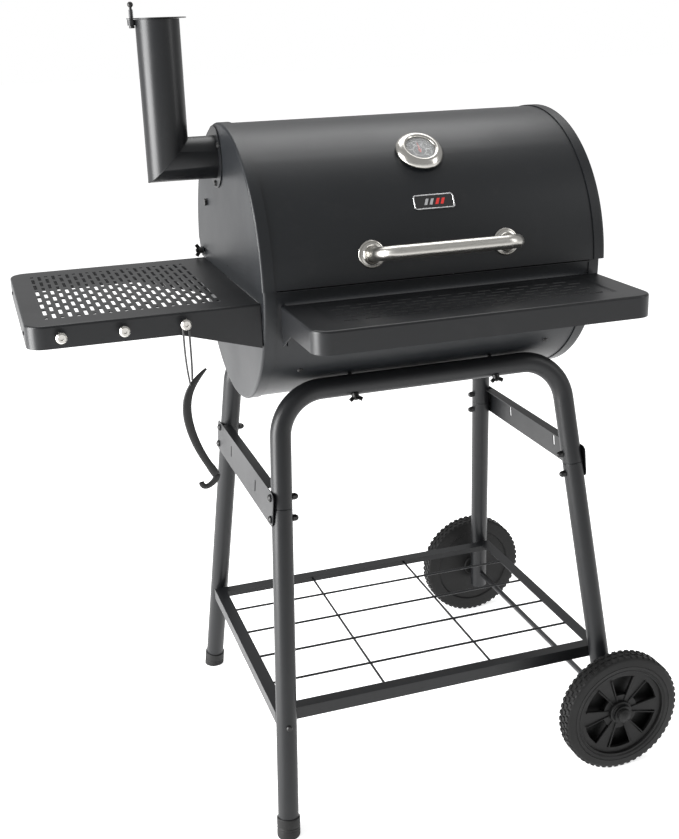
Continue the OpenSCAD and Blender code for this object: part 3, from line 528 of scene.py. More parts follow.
class Effects:
    """The shader groups that several finishes share, each built once."""

    def __init__(self) -> None:
        """Builds the groups."""
        self.peel = self._peel()
        self.rub = self._rub()
        self.brushing = self._brushing()
        self.weave = self._weave()

    @staticmethod
    def _peel() -> bpy.types.NodeTree:
        """The fine orange-peel of a sprayed coat, with slow variation over the sheet."""
        group = new_group("coat_peel", {"Scale": 900.0, "Cloud": 7.0}, ["Height", "Cloudy"])
        nodes, links = group.nodes, group.links
        entry, leave = nodes.new("NodeGroupInput"), nodes.new("NodeGroupOutput")
        place = nodes.new("ShaderNodeTexCoord")
        fine, slow = nodes.new("ShaderNodeTexNoise"), nodes.new("ShaderNodeTexNoise")
        fine.inputs["Detail"].default_value = 2.0
        slow.inputs["Detail"].default_value = 4.0
        for noise, label in ((fine, "Scale"), (slow, "Cloud")):
            links.new(place.outputs["Object"], noise.inputs["Vector"])
            links.new(entry.outputs[label], noise.inputs["Scale"])
        links.new(fine.outputs["Fac"], leave.inputs["Height"])
        links.new(slow.outputs["Fac"], leave.inputs["Cloudy"])
        return group

    @staticmethod
    def _rub() -> bpy.types.NodeTree:
        """Sparse dust and handling marks: a mask that is mostly nought."""
        group = new_group("handling_marks", {"Scale": 24.0, "Amount": 0.35}, ["Mask"])
        nodes, links = group.nodes, group.links
        entry, leave = nodes.new("NodeGroupInput"), nodes.new("NodeGroupOutput")
        place = nodes.new("ShaderNodeTexCoord")
        noise = nodes.new("ShaderNodeTexNoise")
        noise.inputs["Detail"].default_value = 6.0
        noise.inputs["Roughness"].default_value = 0.7
        ramp = nodes.new("ShaderNodeMapRange")
        ramp.inputs["From Min"].default_value = 0.55
        ramp.inputs["From Max"].default_value = 0.8
        times = nodes.new("ShaderNodeMath")
        times.operation = "MULTIPLY"
        links.new(place.outputs["Object"], noise.inputs["Vector"])
        links.new(entry.outputs["Scale"], noise.inputs["Scale"])
        links.new(noise.outputs["Fac"], ramp.inputs["Value"])
        links.new(ramp.outputs["Result"], times.inputs[0])
        links.new(entry.outputs["Amount"], times.inputs[1])
        links.new(times.outputs["Value"], leave.inputs["Mask"])
        return group

    @staticmethod
    def _brushing() -> bpy.types.NodeTree:
        """Fine parallel scratches, drawn out along the axis with the lowest scale."""
        labels = {"Along X": 1.0, "Along Y": 40.0, "Along Z": 40.0, "Scale": 60.0}
        group = new_group("brushing", labels, ["Height", "Shade"])
        nodes, links = group.nodes, group.links
        entry, leave = nodes.new("NodeGroupInput"), nodes.new("NodeGroupOutput")
        place = nodes.new("ShaderNodeTexCoord")
        stretch = nodes.new("ShaderNodeCombineXYZ")
        times = nodes.new("ShaderNodeVectorMath")
        times.operation = "MULTIPLY"
        noise = nodes.new("ShaderNodeTexNoise")
        noise.inputs["Detail"].default_value = 5.0
        noise.inputs["Roughness"].default_value = 0.65
        for label, axis in (("Along X", "X"), ("Along Y", "Y"), ("Along Z", "Z")):
            links.new(entry.outputs[label], stretch.inputs[axis])
        links.new(place.outputs["Object"], times.inputs[0])
        links.new(stretch.outputs["Vector"], times.inputs[1])
        links.new(times.outputs["Vector"], noise.inputs["Vector"])
        links.new(entry.outputs["Scale"], noise.inputs["Scale"])
        links.new(noise.outputs["Fac"], leave.inputs["Height"])
        links.new(noise.outputs["Fac"], leave.inputs["Shade"])
        return group

    @staticmethod
    def _weave() -> bpy.types.NodeTree:
        """Crossing threads of a narrow strap."""
        group = new_group("strap_weave", {"Threads": 1500.0}, ["Height"])
        nodes, links = group.nodes, group.links
        entry, leave = nodes.new("NodeGroupInput"), nodes.new("NodeGroupOutput")
        place = nodes.new("ShaderNodeTexCoord")
        waves = []
        for direction in ("X", "Z"):
            wave = nodes.new("ShaderNodeTexWave")
            wave.bands_direction = direction
            links.new(place.outputs["Object"], wave.inputs["Vector"])
            links.new(entry.outputs["Threads"], wave.inputs["Scale"])
            waves.append(wave)
        both = nodes.new("ShaderNodeMath")
        both.operation = "MULTIPLY"
        links.new(waves[0].outputs["Fac"], both.inputs[0])
        links.new(waves[1].outputs["Fac"], both.inputs[1])
        links.new(both.outputs["Value"], leave.inputs["Height"])
        return group


@dataclass
class Shading:
    """A material under construction, with its Principled shader."""

    material: bpy.types.Material
    shader: bpy.types.Node

    @classmethod
    def start(cls, name: str) -> "Shading":
        """A new node material."""
        material = bpy.data.materials.new(name)
        material.use_nodes = True
        return cls(material, material.node_tree.nodes["Principled BSDF"])

    def add(self, kind: str) -> bpy.types.Node:
        """A new node."""
        return self.material.node_tree.nodes.new(kind)

    def link(self, source: bpy.types.NodeSocket, target: bpy.types.NodeSocket) -> None:
        """Joins two sockets."""
        self.material.node_tree.links.new(source, target)

    def effect(self, group: bpy.types.NodeTree, **values: float) -> bpy.types.Node:
        """Places a shared group with this material's own values.

        Args:
            group: The shared group.
            values: Its inputs, spaces in their names written as underscores.

        Returns:
            The group's node.
        """
        node = self.add("ShaderNodeGroup")
        node.node_tree = group
        for label, value in values.items():
            node.inputs[label.replace("_", " ")].default_value = value
        return node

    def set(self, **values: object) -> None:
        """Sets constants on the shader's own sockets."""
        for label, value in values.items():
            self.shader.inputs[label.replace("_", " ")].default_value = value

    def colour_between(self, mask: bpy.types.NodeSocket, low: tuple, high: tuple) -> bpy.types.Node:
        """A base colour that runs from one colour to another with a mask.

        Args:
            mask: Nought for the first colour, one for the second.
            low: The first colour.
            high: The second colour.

        Returns:
            The mixing node.
        """
        mix = self.add("ShaderNodeMix")
        mix.data_type = "RGBA"
        mix.inputs["A"].default_value = (*low, 1)
        mix.inputs["B"].default_value = (*high, 1)
        self.link(mask, mix.inputs["Factor"])
        return mix

    def roughness_between(self, mask: bpy.types.NodeSocket, low: float, high: float) -> None:
        """A roughness that runs between two values with a mask.

        Args:
            mask: A noise that mostly lies between 0.3 and 0.7.
            low: The roughness at its low end.
            high: The roughness at its high end.
        """
        ramp = self.add("ShaderNodeMapRange")
        ramp.inputs["From Min"].default_value = 0.3
        ramp.inputs["From Max"].default_value = 0.7
        ramp.inputs["To Min"].default_value = low
        ramp.inputs["To Max"].default_value = high
        self.link(mask, ramp.inputs["Value"])
        self.link(ramp.outputs["Result"], self.shader.inputs["Roughness"])

    def bump(self, height: bpy.types.NodeSocket, strength: float, depth: float) -> None:
        """Raises the surface by a height pattern of a depth in metres.

        Args:
            height: The pattern.
            strength: How strongly it shows.
            depth: How deep it is.
        """
        node = self.add("ShaderNodeBump")
        node.inputs["Strength"].default_value = strength
        node.inputs["Distance"].default_value = depth
        self.link(height, node.inputs["Height"])
        self.link(node.outputs["Normal"], self.shader.inputs["Normal"])


@dataclass(frozen=True)
class CoatedSteel:
    """Sheet or tube with a sprayed or powdered black coat."""

    slot: str
    colour: tuple[float, float, float]
    dusty: tuple[float, float, float]
    roughness: tuple[float, float]
    peel_scale: float = 900.0
    peel_depth: float = 0.05 * MM
    marks: float = 0.3

    def material(self, effects: Effects) -> bpy.types.Material:
        """Builds the finish."""
        made = Shading.start(self.slot)
        peel = made.effect(effects.peel, Scale=self.peel_scale)
        marks = made.effect(effects.rub, Amount=self.marks)
        colour = made.colour_between(marks.outputs["Mask"], self.colour, self.dusty)
        made.link(colour.outputs["Result"], made.shader.inputs["Base Color"])
        made.roughness_between(peel.outputs["Cloudy"], *self.roughness)
        made.bump(peel.outputs["Height"], 0.35, self.peel_depth)
        made.set(Specular_IOR_Level=0.36)
        return made.material


@dataclass(frozen=True)
class BrushedMetal:
    """Bare metal with fine scratches."""

    slot: str
    colour: tuple[float, float, float]
    roughness: tuple[float, float]
    grain: Grain
    depth: float = 0.02 * MM

    def material(self, effects: Effects) -> bpy.types.Material:
        """Builds the finish."""
        made = Shading.start(f"{self.slot}_{self.grain.name.lower()}")
        x, y, z = self.grain.value
        lines = made.effect(effects.brushing, Along_X=x, Along_Y=y, Along_Z=z)
        darker = tuple(c * 0.72 for c in self.colour)
        colour = made.colour_between(lines.outputs["Shade"], darker, self.colour)
        made.link(colour.outputs["Result"], made.shader.inputs["Base Color"])
        made.roughness_between(lines.outputs["Shade"], *self.roughness)
        made.bump(lines.outputs["Height"], 0.3, self.depth)
        made.set(Metallic=1.0)
        return made.material


@dataclass(frozen=True)
class MouldedPlastic:
    """Black moulded plastic with a fine spark-eroded texture."""

    slot: str
    colour: tuple[float, float, float]
    scuffed: tuple[float, float, float]
    roughness: tuple[float, float]
    texture_scale: float = 1400.0

    def material(self, effects: Effects) -> bpy.types.Material:
        """Builds the finish."""
        made = Shading.start(self.slot)
        skin = made.effect(effects.peel, Scale=self.texture_scale, Cloud=18.0)
        marks = made.effect(effects.rub, Scale=60.0, Amount=0.5)
        colour = made.colour_between(marks.outputs["Mask"], self.colour, self.scuffed)
        made.link(colour.outputs["Result"], made.shader.inputs["Base Color"])
        made.roughness_between(skin.outputs["Cloudy"], *self.roughness)
        made.bump(skin.outputs["Height"], 0.4, 0.06 * MM)
        made.set(Specular_IOR_Level=0.25)
        return made.material


@dataclass(frozen=True)
class Enamel:
    """A smooth, glossy or matte print or enamel."""

    slot: str
    name: str
    colour: tuple[float, float, float]
    roughness: tuple[float, float]
    metallic: float = 0.0
    coat: float = 0.0

    def material(self, effects: Effects) -> bpy.types.Material:
        """Builds the finish."""
        made = Shading.start(self.name)
        skin = made.effect(effects.peel, Scale=500.0, Cloud=30.0)
        paler = tuple(min(1.0, c * 1.15 + 0.004) for c in self.colour)
        colour = made.colour_between(skin.outputs["Cloudy"], self.colour, paler)
        made.link(colour.outputs["Result"], made.shader.inputs["Base Color"])
        made.roughness_between(skin.outputs["Cloudy"], *self.roughness)
        made.set(Metallic=self.metallic, Coat_Weight=self.coat)
        return made.material


@dataclass(frozen=True)
class ClearGlass:
    """The thermometer's window."""

    slot: str = "gauge_glass"

    def material(self, effects: Effects) -> bpy.types.Material:
        """Builds the finish."""
        made = Shading.start(self.slot)
        smears = made.effect(effects.rub, Scale=90.0, Amount=0.12)
        made.roughness_between(smears.outputs["Mask"], 0.02, 0.1)
        made.set(Base_Color=(0.96, 0.98, 0.98, 1), Alpha=0.14)
        return made.material


@dataclass(frozen=True)
class StrapWebbing:
    """Thin woven black strap."""

    slot: str = "strap_webbing"

    def material(self, effects: Effects) -> bpy.types.Material:
        """Builds the finish."""
        made = Shading.start(self.slot)
        weave = made.effect(effects.weave)
        colour = made.colour_between(weave.outputs["Height"], (0.006,) * 3, (0.03,) * 3)
        made.link(colour.outputs["Result"], made.shader.inputs["Base Color"])
        made.roughness_between(weave.outputs["Height"], 0.75, 0.9)
        made.bump(weave.outputs["Height"], 0.5, 0.2 * MM)
        made.set(Sheen_Weight=0.3)
        return made.material


class Paintbox:
    """All finishes by name, each material made once."""

    def __init__(self) -> None:
        """Builds every material."""
        effects = Effects()
        black, dust = (0.0070, 0.0075, 0.0085), (0.022, 0.022, 0.023)
        steel = (0.60, 0.585, 0.55)
        finishes = {
            "barrel": CoatedSteel("barrel_paint", (0.0080, 0.0092, 0.0108), dust, (0.36, 0.44)),
            "stand": CoatedSteel("stand_paint", black, dust, (0.34, 0.44)),
            "shelf": CoatedSteel("shelf_paint", black, dust, (0.33, 0.42), 1100.0),
            "chimney": CoatedSteel("chimney_paint", black, dust, (0.30, 0.38)),
            "bolt": CoatedSteel("black_fasteners", (0.008,) * 3, dust, (0.28, 0.42), 1800.0),
            "grate": CoatedSteel("grate_enamel", (0.007,) * 3, dust, (0.18, 0.30), 500.0),
            "handle": BrushedMetal("brushed_stainless", steel, (0.24, 0.36), Grain.ALONG_X),
            "bezel": BrushedMetal("brushed_stainless", steel, (0.16, 0.26), Grain.CROSSED),
            "zinc": BrushedMetal("zinc_steel", (0.12, 0.12, 0.125), (0.3, 0.45), Grain.ALONG_Z),
            "wheel": MouldedPlastic("wheel_plastic", (0.006,) * 3, (0.018,) * 3, (0.46, 0.58)),
            "foot": MouldedPlastic("foot_plastic", (0.010,) * 3, (0.03,) * 3, (0.5, 0.6)),
            "lifter": MouldedPlastic("lifter_plastic", (0.012,) * 3, (0.03,) * 3, (0.32, 0.42)),
            "dial": Enamel("dial_face", "dial_face", (0.055, 0.057, 0.06), (0.35, 0.45)),
            "print": Enamel("dial_face", "dial_print", (0.72, 0.72, 0.70), (0.4, 0.5)),
            "needle": Enamel("needle_red", "needle_red", (0.60, 0.05, 0.03), (0.3, 0.4)),
            "plate": Enamel("badge_face", "badge_face", (0.006,) * 3, (0.12, 0.2), coat=0.6),
            "flame": Enamel("badge_face", "badge_flame", (0.62, 0.03, 0.025), (0.2, 0.3)),
            "trim": Enamel("badge_chrome", "badge_chrome", (0.72, 0.72, 0.73), (0.1, 0.2), 1.0),
            "glass": ClearGlass(),
            "strap": StrapWebbing(),
        }
        self._slots = {name: finish.slot for name, finish in finishes.items()}
        self._materials = {name: finish.material(effects) for name, finish in finishes.items()}

    def dress(
        self, piece: bpy.types.Object, finish: str, body: str, *nodes: str, angle: float = 38
    ) -> bpy.types.Object:
        """Gives a piece its finish, its body and the frame nodes that it stands for.

        Args:
            piece: The finished mesh.
            finish: The name of the finish.
            body: The body that it moves with.
            nodes: The frame nodes that it replaces.
            angle: The sharpest angle that is shaded smooth.

        Returns:
            The same piece.
        """
        smooth(piece, angle)
        piece.data.materials.clear()
        piece.data.materials.append(self._materials[finish])
        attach(piece, body)
        if nodes:
            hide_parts(*nodes)
        log.info("%s: %s, %d faces", piece.name, finish, len(piece.data.polygons))
        return piece

    def ease(self, node: str, finish: str, body: str, width: float, angle: float = 38) -> None:
        """Replaces a frame node by a copy with rounded edges.

        Args:
            node: The frame node.
            finish: The name of the finish.
            body: The body that it moves with.
            width: How far the rounding reaches.
            angle: The sharpest angle that is shaded smooth.
        """
        piece = merged_copy(node, f"{node}_eased")
        soften(piece, width)
        self.dress(piece, finish, body, node, angle=angle)


# ---- sub-assemblies ----


@dataclass
class Studio:
    """Camera, floor and soft lights round the grill.

    The camera's angles are in degrees, and its place is given from the stand's middle.
    """

    layout: Layout
    focal: float = 49.225
    azimuth: float = 17.9
    elevation: float = 18.0
    roll: float = -1.9
    shift: tuple[float, float] = (-0.0079, -0.0249)
    place: tuple[float, float, float] = (-0.6332, -1.7109, 1.1821)
    surround: float = 0.5
    floor_glow: float = 0.62
    floor_size: float = 60

    def camera(self) -> None:
        """Sets up the camera a little to the front left, above the shelf's height."""
        azimuth, elevation, roll = (math.radians(a) for a in (self.azimuth, self.elevation, self.roll))
        back = Vector((
            -math.sin(azimuth) * math.cos(elevation),
            -math.cos(azimuth) * math.cos(elevation),
            math.sin(elevation),
        ))
        level = (-back).cross(Vector((0, 0, 1))).normalized()
        upright = level.cross(-back)
        right = level * math.cos(roll) + upright * math.sin(roll)
        up = upright * math.cos(roll) - level * math.sin(roll)
        data = bpy.data.cameras.new("camera")
        data.lens, data.sensor_width = self.focal, 36
        data.shift_x, data.shift_y = self.shift
        camera = bpy.data.objects.new("camera", data)
        bpy.context.scene.collection.objects.link(camera)
        turn = Matrix((right, up, back)).transposed().to_4x4()
        camera.matrix_world = Matrix.Translation(self.layout.at(*self.place)) @ turn
        bpy.context.scene.camera = camera

    def floor(self) -> None:
        """Lays a pale floor that reaches past every view."""
        deselect()
        bpy.ops.mesh.primitive_plane_add(size=self.floor_size, location=(0, 0, -0.5 * MM))
        floor = bpy.context.active_object
        floor.name = "floor"
        made = Shading.start("floor")
        made.set(Base_Color=(0.93, 0.93, 0.93, 1), Roughness=0.9)
        made.set(Emission_Color=(1, 1, 1, 1), Emission_Strength=self.floor_glow)
        floor.data.materials.append(made.material)

    def softbox(self, name: str, place: Vector, size: tuple[float, float], power: float) -> None:
        """A soft lamp that looks at the grill's middle.

        Args:
            name: The lamp's name.
            place: Where it hangs.
            size: Its width and height.
            power: Its power in watts.
        """
        data = bpy.data.lights.new(name, "AREA")
        data.shape = "RECTANGLE"
        data.size, data.size_y = size
        data.energy = power
        lamp = bpy.data.objects.new(name, data)
        bpy.context.scene.collection.objects.link(lamp)
        target = self.layout.at(0, 0, 0.75)
        lamp.location = place
        lamp.rotation_euler = (target - place).to_track_quat("-Z", "Y").to_euler()

    def lights(self) -> None:
        """Hangs the soft lights in a surround that is white only where the camera looks at it."""
        self.softbox("left_box", self.layout.at(-2.8, -0.2, 1.2), (1.6, 2.4), 210)
        self.softbox("right_box", self.layout.at(2.3, -1.6, 1.9), (0.8, 2.0), 16)
        self.softbox("top_box", self.layout.at(0.2, 1.0, 3.0), (2.4, 1.6), 42)
        world = bpy.data.worlds.new("surround")
        world.use_nodes = True
        sky = world.node_tree.nodes["Background"]
        sky.inputs["Color"].default_value = (1.0, 1.0, 1.0, 1)
        path = world.node_tree.nodes.new("ShaderNodeLightPath")
        level = world.node_tree.nodes.new("ShaderNodeMapRange")
        level.inputs["To Min"].default_value = self.surround
        world.node_tree.links.new(path.outputs["Is Camera Ray"], level.inputs["Value"])
        world.node_tree.links.new(level.outputs["Result"], sky.inputs["Strength"])
        bpy.context.scene.world = world
        bpy.context.scene.view_settings.view_transform = "Standard"

    def build(self) -> None:
        """Sets the whole studio up."""
        self.camera()
        self.floor()
        self.lights()


@dataclass
class Stand:
    """Bent leg frames, plugged lower legs, feet, braces and their bolts."""

    layout: Layout
    paint: Paintbox
    tube_r: float = 16 * MM
    wall: float = 1.5 * MM
    top_z: float = 0.668
    top_y: float = 0.1435
    top_x: float = 0.230
    foot_x: float = 0.284
    foot_y: float = 0.270
    bend_r: float = 0.070
    bend_steps: int = 14
    joint_z: float = 0.500
    neck_len: float = 39 * MM
    left_end_z: float = 6 * MM
    right_end_z: float = 71 * MM

    def leg_at(self, sx: int, sy: int, z: float) -> Vector:
        """A leg's centre line at a height."""
        t = z / self.top_z
        x = self.foot_x + (self.top_x - self.foot_x) * t
        y = self.foot_y + (self.top_y - self.foot_y) * t
        return self.layout.at(sx * x, sy * y, z)

    def frame_line(self, sy: int) -> list[Vector]:
        """The middle line of one bent frame, from joint to joint.

        Args:
            sy: The front frame at -1, the rear one at 1.

        Returns:
            The points of the line.
        """
        line: list[Vector] = []
        for sx in (-1, 1):
            corner = self.layout.at(sx * self.top_x, sy * self.top_y, self.top_z)
            down = (self.leg_at(sx, sy, self.joint_z) - corner).normalized()
            level = Vector((-sx, 0, 0))
            half = down.angle(level) / 2
            reach = self.bend_r / math.tan(half)
            centre = corner + (down + level).normalized() * self.bend_r / math.sin(half)
            start, end = corner + down * reach, corner + level * reach
            a, b = start - centre, end - centre
            turn = a.angle(b)
            shares = [step / self.bend_steps for step in range(self.bend_steps + 1)]
            bend = [
                centre + (a * math.sin(turn * (1 - t)) + b * math.sin(turn * t)) / math.sin(turn)
                for t in shares
            ]
            leg = [self.leg_at(sx, sy, self.joint_z), *bend]
            line += leg if sx < 0 else leg[::-1]
        return line

    def lower_leg(self, name: str, sx: int, sy: int, end_z: float) -> None:
        """A lower leg with a swaged neck, its end square to the tube.

        Args:
            name: The piece's name, its node's name and _tube.
            sx: Left at -1, right at 1.
            sy: Front at -1, rear at 1.
            end_z: The height of its lower end.
        """
        foot, top = self.leg_at(sx, sy, end_z), self.leg_at(sx, sy, self.joint_z)
        axis = (top - foot).normalized()
        length = (top - foot).length - 0.0004
        r, bore, neck = self.tube_r, self.tube_r - self.wall, self.tube_r - self.wall - 0.0002
        profile = [
            (bore, 0), (r - 0.0004, 0), (r, 0.0004), (r, length - 0.0015), (r - 0.0006, length - 0.0002),
            (neck, length), (neck, length + self.neck_len), (neck - self.wall, length + self.neck_len),
            (neck - self.wall, length - 0.010), (bore, length - 0.014),
        ]
        piece = lathe(name, profile, foot, axis, steps=40, closed=True)
        self.paint.dress(piece, "stand", "stand", name.replace("_tube", ""))

    def foot(self, name: str, sy: int) -> None:
        """A moulded cap with two grooves round it, cut level with the ground.

        Args:
            name: The piece's name, its node's name and _cap.
            sy: Front at -1, rear at 1.
        """
        start = self.leg_at(-1, sy, 0)
        axis = (self.leg_at(-1, sy, 1) - start).normalized()
        r, bore = self.tube_r + 1.95 * MM, self.tube_r + 0.05 * MM
        profile = [(0, -0.008), (r, -0.008), (r, 0.0075)]
        for ring in (0.0085, 0.0125):
            profile += [(r - 0.0007, ring), (r - 0.0007, ring + 0.002), (r, ring + 0.003)]
        profile += [(r, 0.0266), *arc(0.0012, 0, 90, 4, (r - 0.0012, 0.0270)), (bore, 0.0282)]
        profile += [(bore, 0.0062), (0, 0.0062)]
        piece = lathe(name, profile, start, axis, steps=48)
        with editing(piece):
            bpy.ops.mesh.select_all(action="SELECT")
            bpy.ops.mesh.bisect(
                plane_co=(0, 0, 0), plane_no=(0, 0, -1), clear_outer=True, use_fill=True,
            )
        self.paint.dress(piece, "foot", "stand", name.replace("_cap", ""))

    def build(self) -> None:
        """Makes the stand."""
        for sy, side in ((-1, "front"), (1, "rear")):
            tube = sweep(f"{side}_leg_frame_tube", self.frame_line(sy), self.tube_r, self.wall, sides=40)
            soften(tube, 0.0003, 1)
            self.paint.dress(tube, "stand", "stand", f"{side}_leg_frame")
            self.lower_leg(f"{side}_left_lower_leg_tube", -1, sy, self.left_end_z)
            self.lower_leg(f"{side}_right_lower_leg_tube", 1, sy, self.right_end_z)
            self.foot(f"{side}_left_foot_cap", sy)
        for node in ("left_brace", "right_brace"):
            self.paint.ease(node, "stand", "stand", 0.0004)
        for node in ("brace_bolts", "brace_nuts"):
            self.paint.ease(node, "bolt", "stand", 0.0004)


@dataclass
class Rack:
    """The bottom shelf: an angle frame with welded wires."""

    paint: Paintbox
    wire_r: float = 2 * MM

    def wires(self) -> bpy.types.Object:
        """Round wires with a weld at each crossing."""
        low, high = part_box("rack_wires")
        r = self.wire_r
        middle, half_x, half_y = (low + high) / 2, (high.x - low.x) / 2, (high.y - low.y) / 2
        upper, lower = high.z - r, low.z + r
        ys = [middle.y + half_y * (i / 2.5 - 1) for i in (1, 2, 3, 4)]
        xs = [middle.x + s * half_x / 3 for s in (-1, 1)]
        pieces = [
            rod_piece("wire", Vector((low.x, y, upper)), Vector((high.x, y, upper)), r, 16) for y in ys
        ]
        pieces += [
            rod_piece("wire", Vector((x, low.y, lower)), Vector((x, high.y, lower)), r, 16) for x in xs
        ]
        for x in xs:
            for y in ys:
                deselect()
                bpy.ops.mesh.primitive_uv_sphere_add(
                    segments=12, ring_count=8, radius=r * 0.95, location=(x, y, (upper + lower) / 2)
                )
                pieces.append(bpy.context.active_object)
        for piece in pieces:
            settle(piece)
        return join("rack_wires_welded", pieces)

    def build(self) -> None:
        """Makes the bottom shelf."""
        self.paint.ease("rack_frame", "stand", "stand", 0.0008)
        self.paint.dress(self.wires(), "stand", "stand", "rack_wires")
        self.paint.ease("rack_screws", "bolt", "stand", 0.0003)


class Side(Enum):
    """The two wheels."""

    FRONT = -1
    REAR = 1


@dataclass
class Wheel:
    """A moulded wheel with six spokes and a block tread."""

    paint: Paintbox
    side: Side
    radius: float = 101.6 * MM
    tread: float = 2.0 * MM
    rim_r: float = 74.5 * MM
    hub_r: float = 20 * MM
    web_r: tuple[float, float] = (31 * MM, 65.5 * MM)
    web_t: float = 7 * MM
    back_at: tuple[float, float] = (4 * MM, 6 * MM)
    spokes: int = 6
    window_half: float = 18
    rib_half: float = 12
    rib_r: float = 1.1 * MM
    blocks: int = 54
    rows: int = 3

    def __post_init__(self) -> None:
        """Reads the wheel's place from the frame."""
        node = f"{self.side.name.lower()}_wheel"
        low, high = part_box(node)
        self.node, self.width = node, high.y - low.y
        self.out = Vector((0, self.side.value, 0))
        inner_y = high.y if self.side is Side.FRONT else low.y
        self.centre = Vector(((low.x + high.x) / 2, inner_y, (low.z + high.z) / 2))

    def tyre(self) -> bpy.types.Object:
        """The tyre with its bead line, shoulders and the rim's lip."""
        r, w, rim = self.radius - self.tread, self.width, self.rim_r
        profile = [
            (rim, 0.004), (rim + 0.002, 0.0012), (rim + 0.008, 0.0006), (r - 0.006, 0.0014),
            *arc(0.004, -80, 0, 4, (r - 0.004, 0.0055)),
            *arc(0.004, 0, 80, 4, (r - 0.004, w - 0.0055)),
            (r - 0.006, w - 0.0012), (r - 0.013, w - 0.0006), (r - 0.0136, w - 0.0014),
            (r - 0.0144, w - 0.0014), (r - 0.015, w - 0.0008), (rim + 0.006, w - 0.0012),
            (rim + 0.0045, w - 0.0028), (rim + 0.003, w - 0.0028), (rim + 0.0022, w - 0.0022),
            (rim + 0.0006, w - 0.0024), (rim, w - 0.0034),
        ]
        return lathe("tyre", profile, self.centre, self.out, steps=108, closed=True)

    def tread_blocks(self) -> list[bpy.types.Object]:
        """Rows of small blocks round the tyre, the middle one set half a pitch on."""
        pitch = math.tau / self.blocks
        length = (self.radius * pitch) * 0.62
        block_w = self.width * 0.23
        base = self.radius - self.tread
        made = []
        for row in range(self.rows):
            along = self.out * (self.width * (0.21 + 0.29 * row))
            middle = self.centre + along + Vector((base + self.tread * 0.3, 0, 0))
            half = Vector((self.tread * 0.62, block_w / 2, length / 2))
            block = box_piece("tread_block", middle - half, middle + half)
            with editing(block):
                pick_faces(block, lambda c, n: n.x > 0.9)
                bpy.ops.transform.resize(value=(1, 0.8, 0.8), center_override=middle)
            made.append(block)
            for i in range(1, self.blocks):
                turn = turned(pitch * i, Vector((0, 1, 0)), self.centre)
                made.append(duplicate(block, turn, "tread_block"))
            if row == 1:
                shift = turned(pitch / 2, Vector((0, 1, 0)), self.centre)
                for piece in made[-self.blocks:]:
                    piece.data.transform(shift)
        return made

    def web(self) -> bpy.types.Object:
        """A disc with a wedge window between each two spokes."""
        w = self.width
        profile = [(self.hub_r - 0.002, w - 0.013), (self.rim_r + 0.001, w - 0.010)]
        piece = lathe("web", profile, self.centre, self.out, steps=72)
        with editing(piece):
            for radius in self.web_r:
                self._ring_cut(piece, radius)
            pick_faces(piece, lambda c, n: self._in_window(c))
            bpy.ops.mesh.delete(type="FACE")
        modify(piece, "SOLIDIFY", thickness=self.web_t, offset=0)
        close_up(piece)
        soften(piece, 0.0009, 2)
        return piece

    def _ring_cut(self, piece: bpy.types.Object, radius: float) -> None:
        """Splits the web's radial edges at a radius.

        Args:
            piece: The web in edit mode.
            radius: Where the new ring of vertices lies.
        """
        mesh = bmesh.from_edit_mesh(piece.data)
        for edge in list(mesh.edges):
            a, b = (self._radius_of(v.co) for v in edge.verts)
            if min(a, b) < radius - 1e-5 and max(a, b) > radius + 1e-5:
                share = (radius - a) / (b - a)
                bmesh.utils.edge_split(edge, edge.verts[0], share)
        rings = [v for v in mesh.verts if abs(self._radius_of(v.co) - radius) < 1e-4]
        bmesh.ops.connect_verts(mesh, verts=rings)
        bmesh.update_edit_mesh(piece.data)

    def _radius_of(self, point: Vector) -> float:
        """Distance from the axle."""
        return math.hypot(point.x - self.centre.x, point.z - self.centre.z)

    def _in_window(self, point: Vector) -> bool:
        """Whether a face's centre on the web lies in one of the windows."""
        pitch = 360 / self.spokes
        angle = math.degrees(math.atan2(point.z - self.centre.z, point.x - self.centre.x)) % pitch
        inner, outer = self.web_r
        between = inner + 1 * MM < self._radius_of(point) < outer - 0.5 * MM
        return between and abs(angle - pitch / 2) < self.window_half

    def ribs(self) -> list[bpy.types.Object]:
        """Thin ribs along both sides of every spoke."""
        made = []
        for spoke in range(self.spokes):
            for side in (-self.rib_half, self.rib_half):
                angle = math.radians(360 / self.spokes * spoke + side)
                ray = Vector((math.cos(angle), 0, math.sin(angle)))
                a = self.centre + ray * (self.hub_r + 1 * MM) + self.out * (self.width - 8.5 * MM)
                b = self.centre + ray * self.web_r[1] + self.out * (self.width - 5.5 * MM)
                made.append(rod_piece("rib", a, b, self.rib_r, 10))
        return made

    def back(self) -> bpy.types.Object:
        """The closed disc deep behind the windows."""
        near, far = self.back_at
        inner, outer = self.hub_r - 2 * MM, self.rim_r + 1 * MM
        profile = [(inner, near), (outer, near), (outer, far), (inner, far)]
        return lathe("back", profile, self.centre, self.out, steps=72, closed=True)

    def hub(self) -> bpy.types.Object:
        """The hub's barrel with a stepped face."""
        w = self.width
        profile = [
            (0.0052, 0.0002), (0.018, 0.0002), (0.0195, 0.0015), (0.0195, w - 0.006),
            *arc(0.002, 0, 90, 3, (0.0175, w - 0.006)), (0.0165, w - 0.004), (0.0158, w - 0.0012),
            (0.0052, w - 0.0012),
        ]
        return lathe("hub", profile, self.centre, self.out, steps=48, closed=True)

    def build(self) -> None:
        """Makes the wheel as one moulding."""
        pieces = [self.tyre(), self.web(), self.back(), self.hub(), *self.ribs(), *self.tread_blocks()]
        wheel = join(f"{self.node}_moulding", pieces)
        self.paint.dress(wheel, "wheel", self.node, self.node, angle=32)


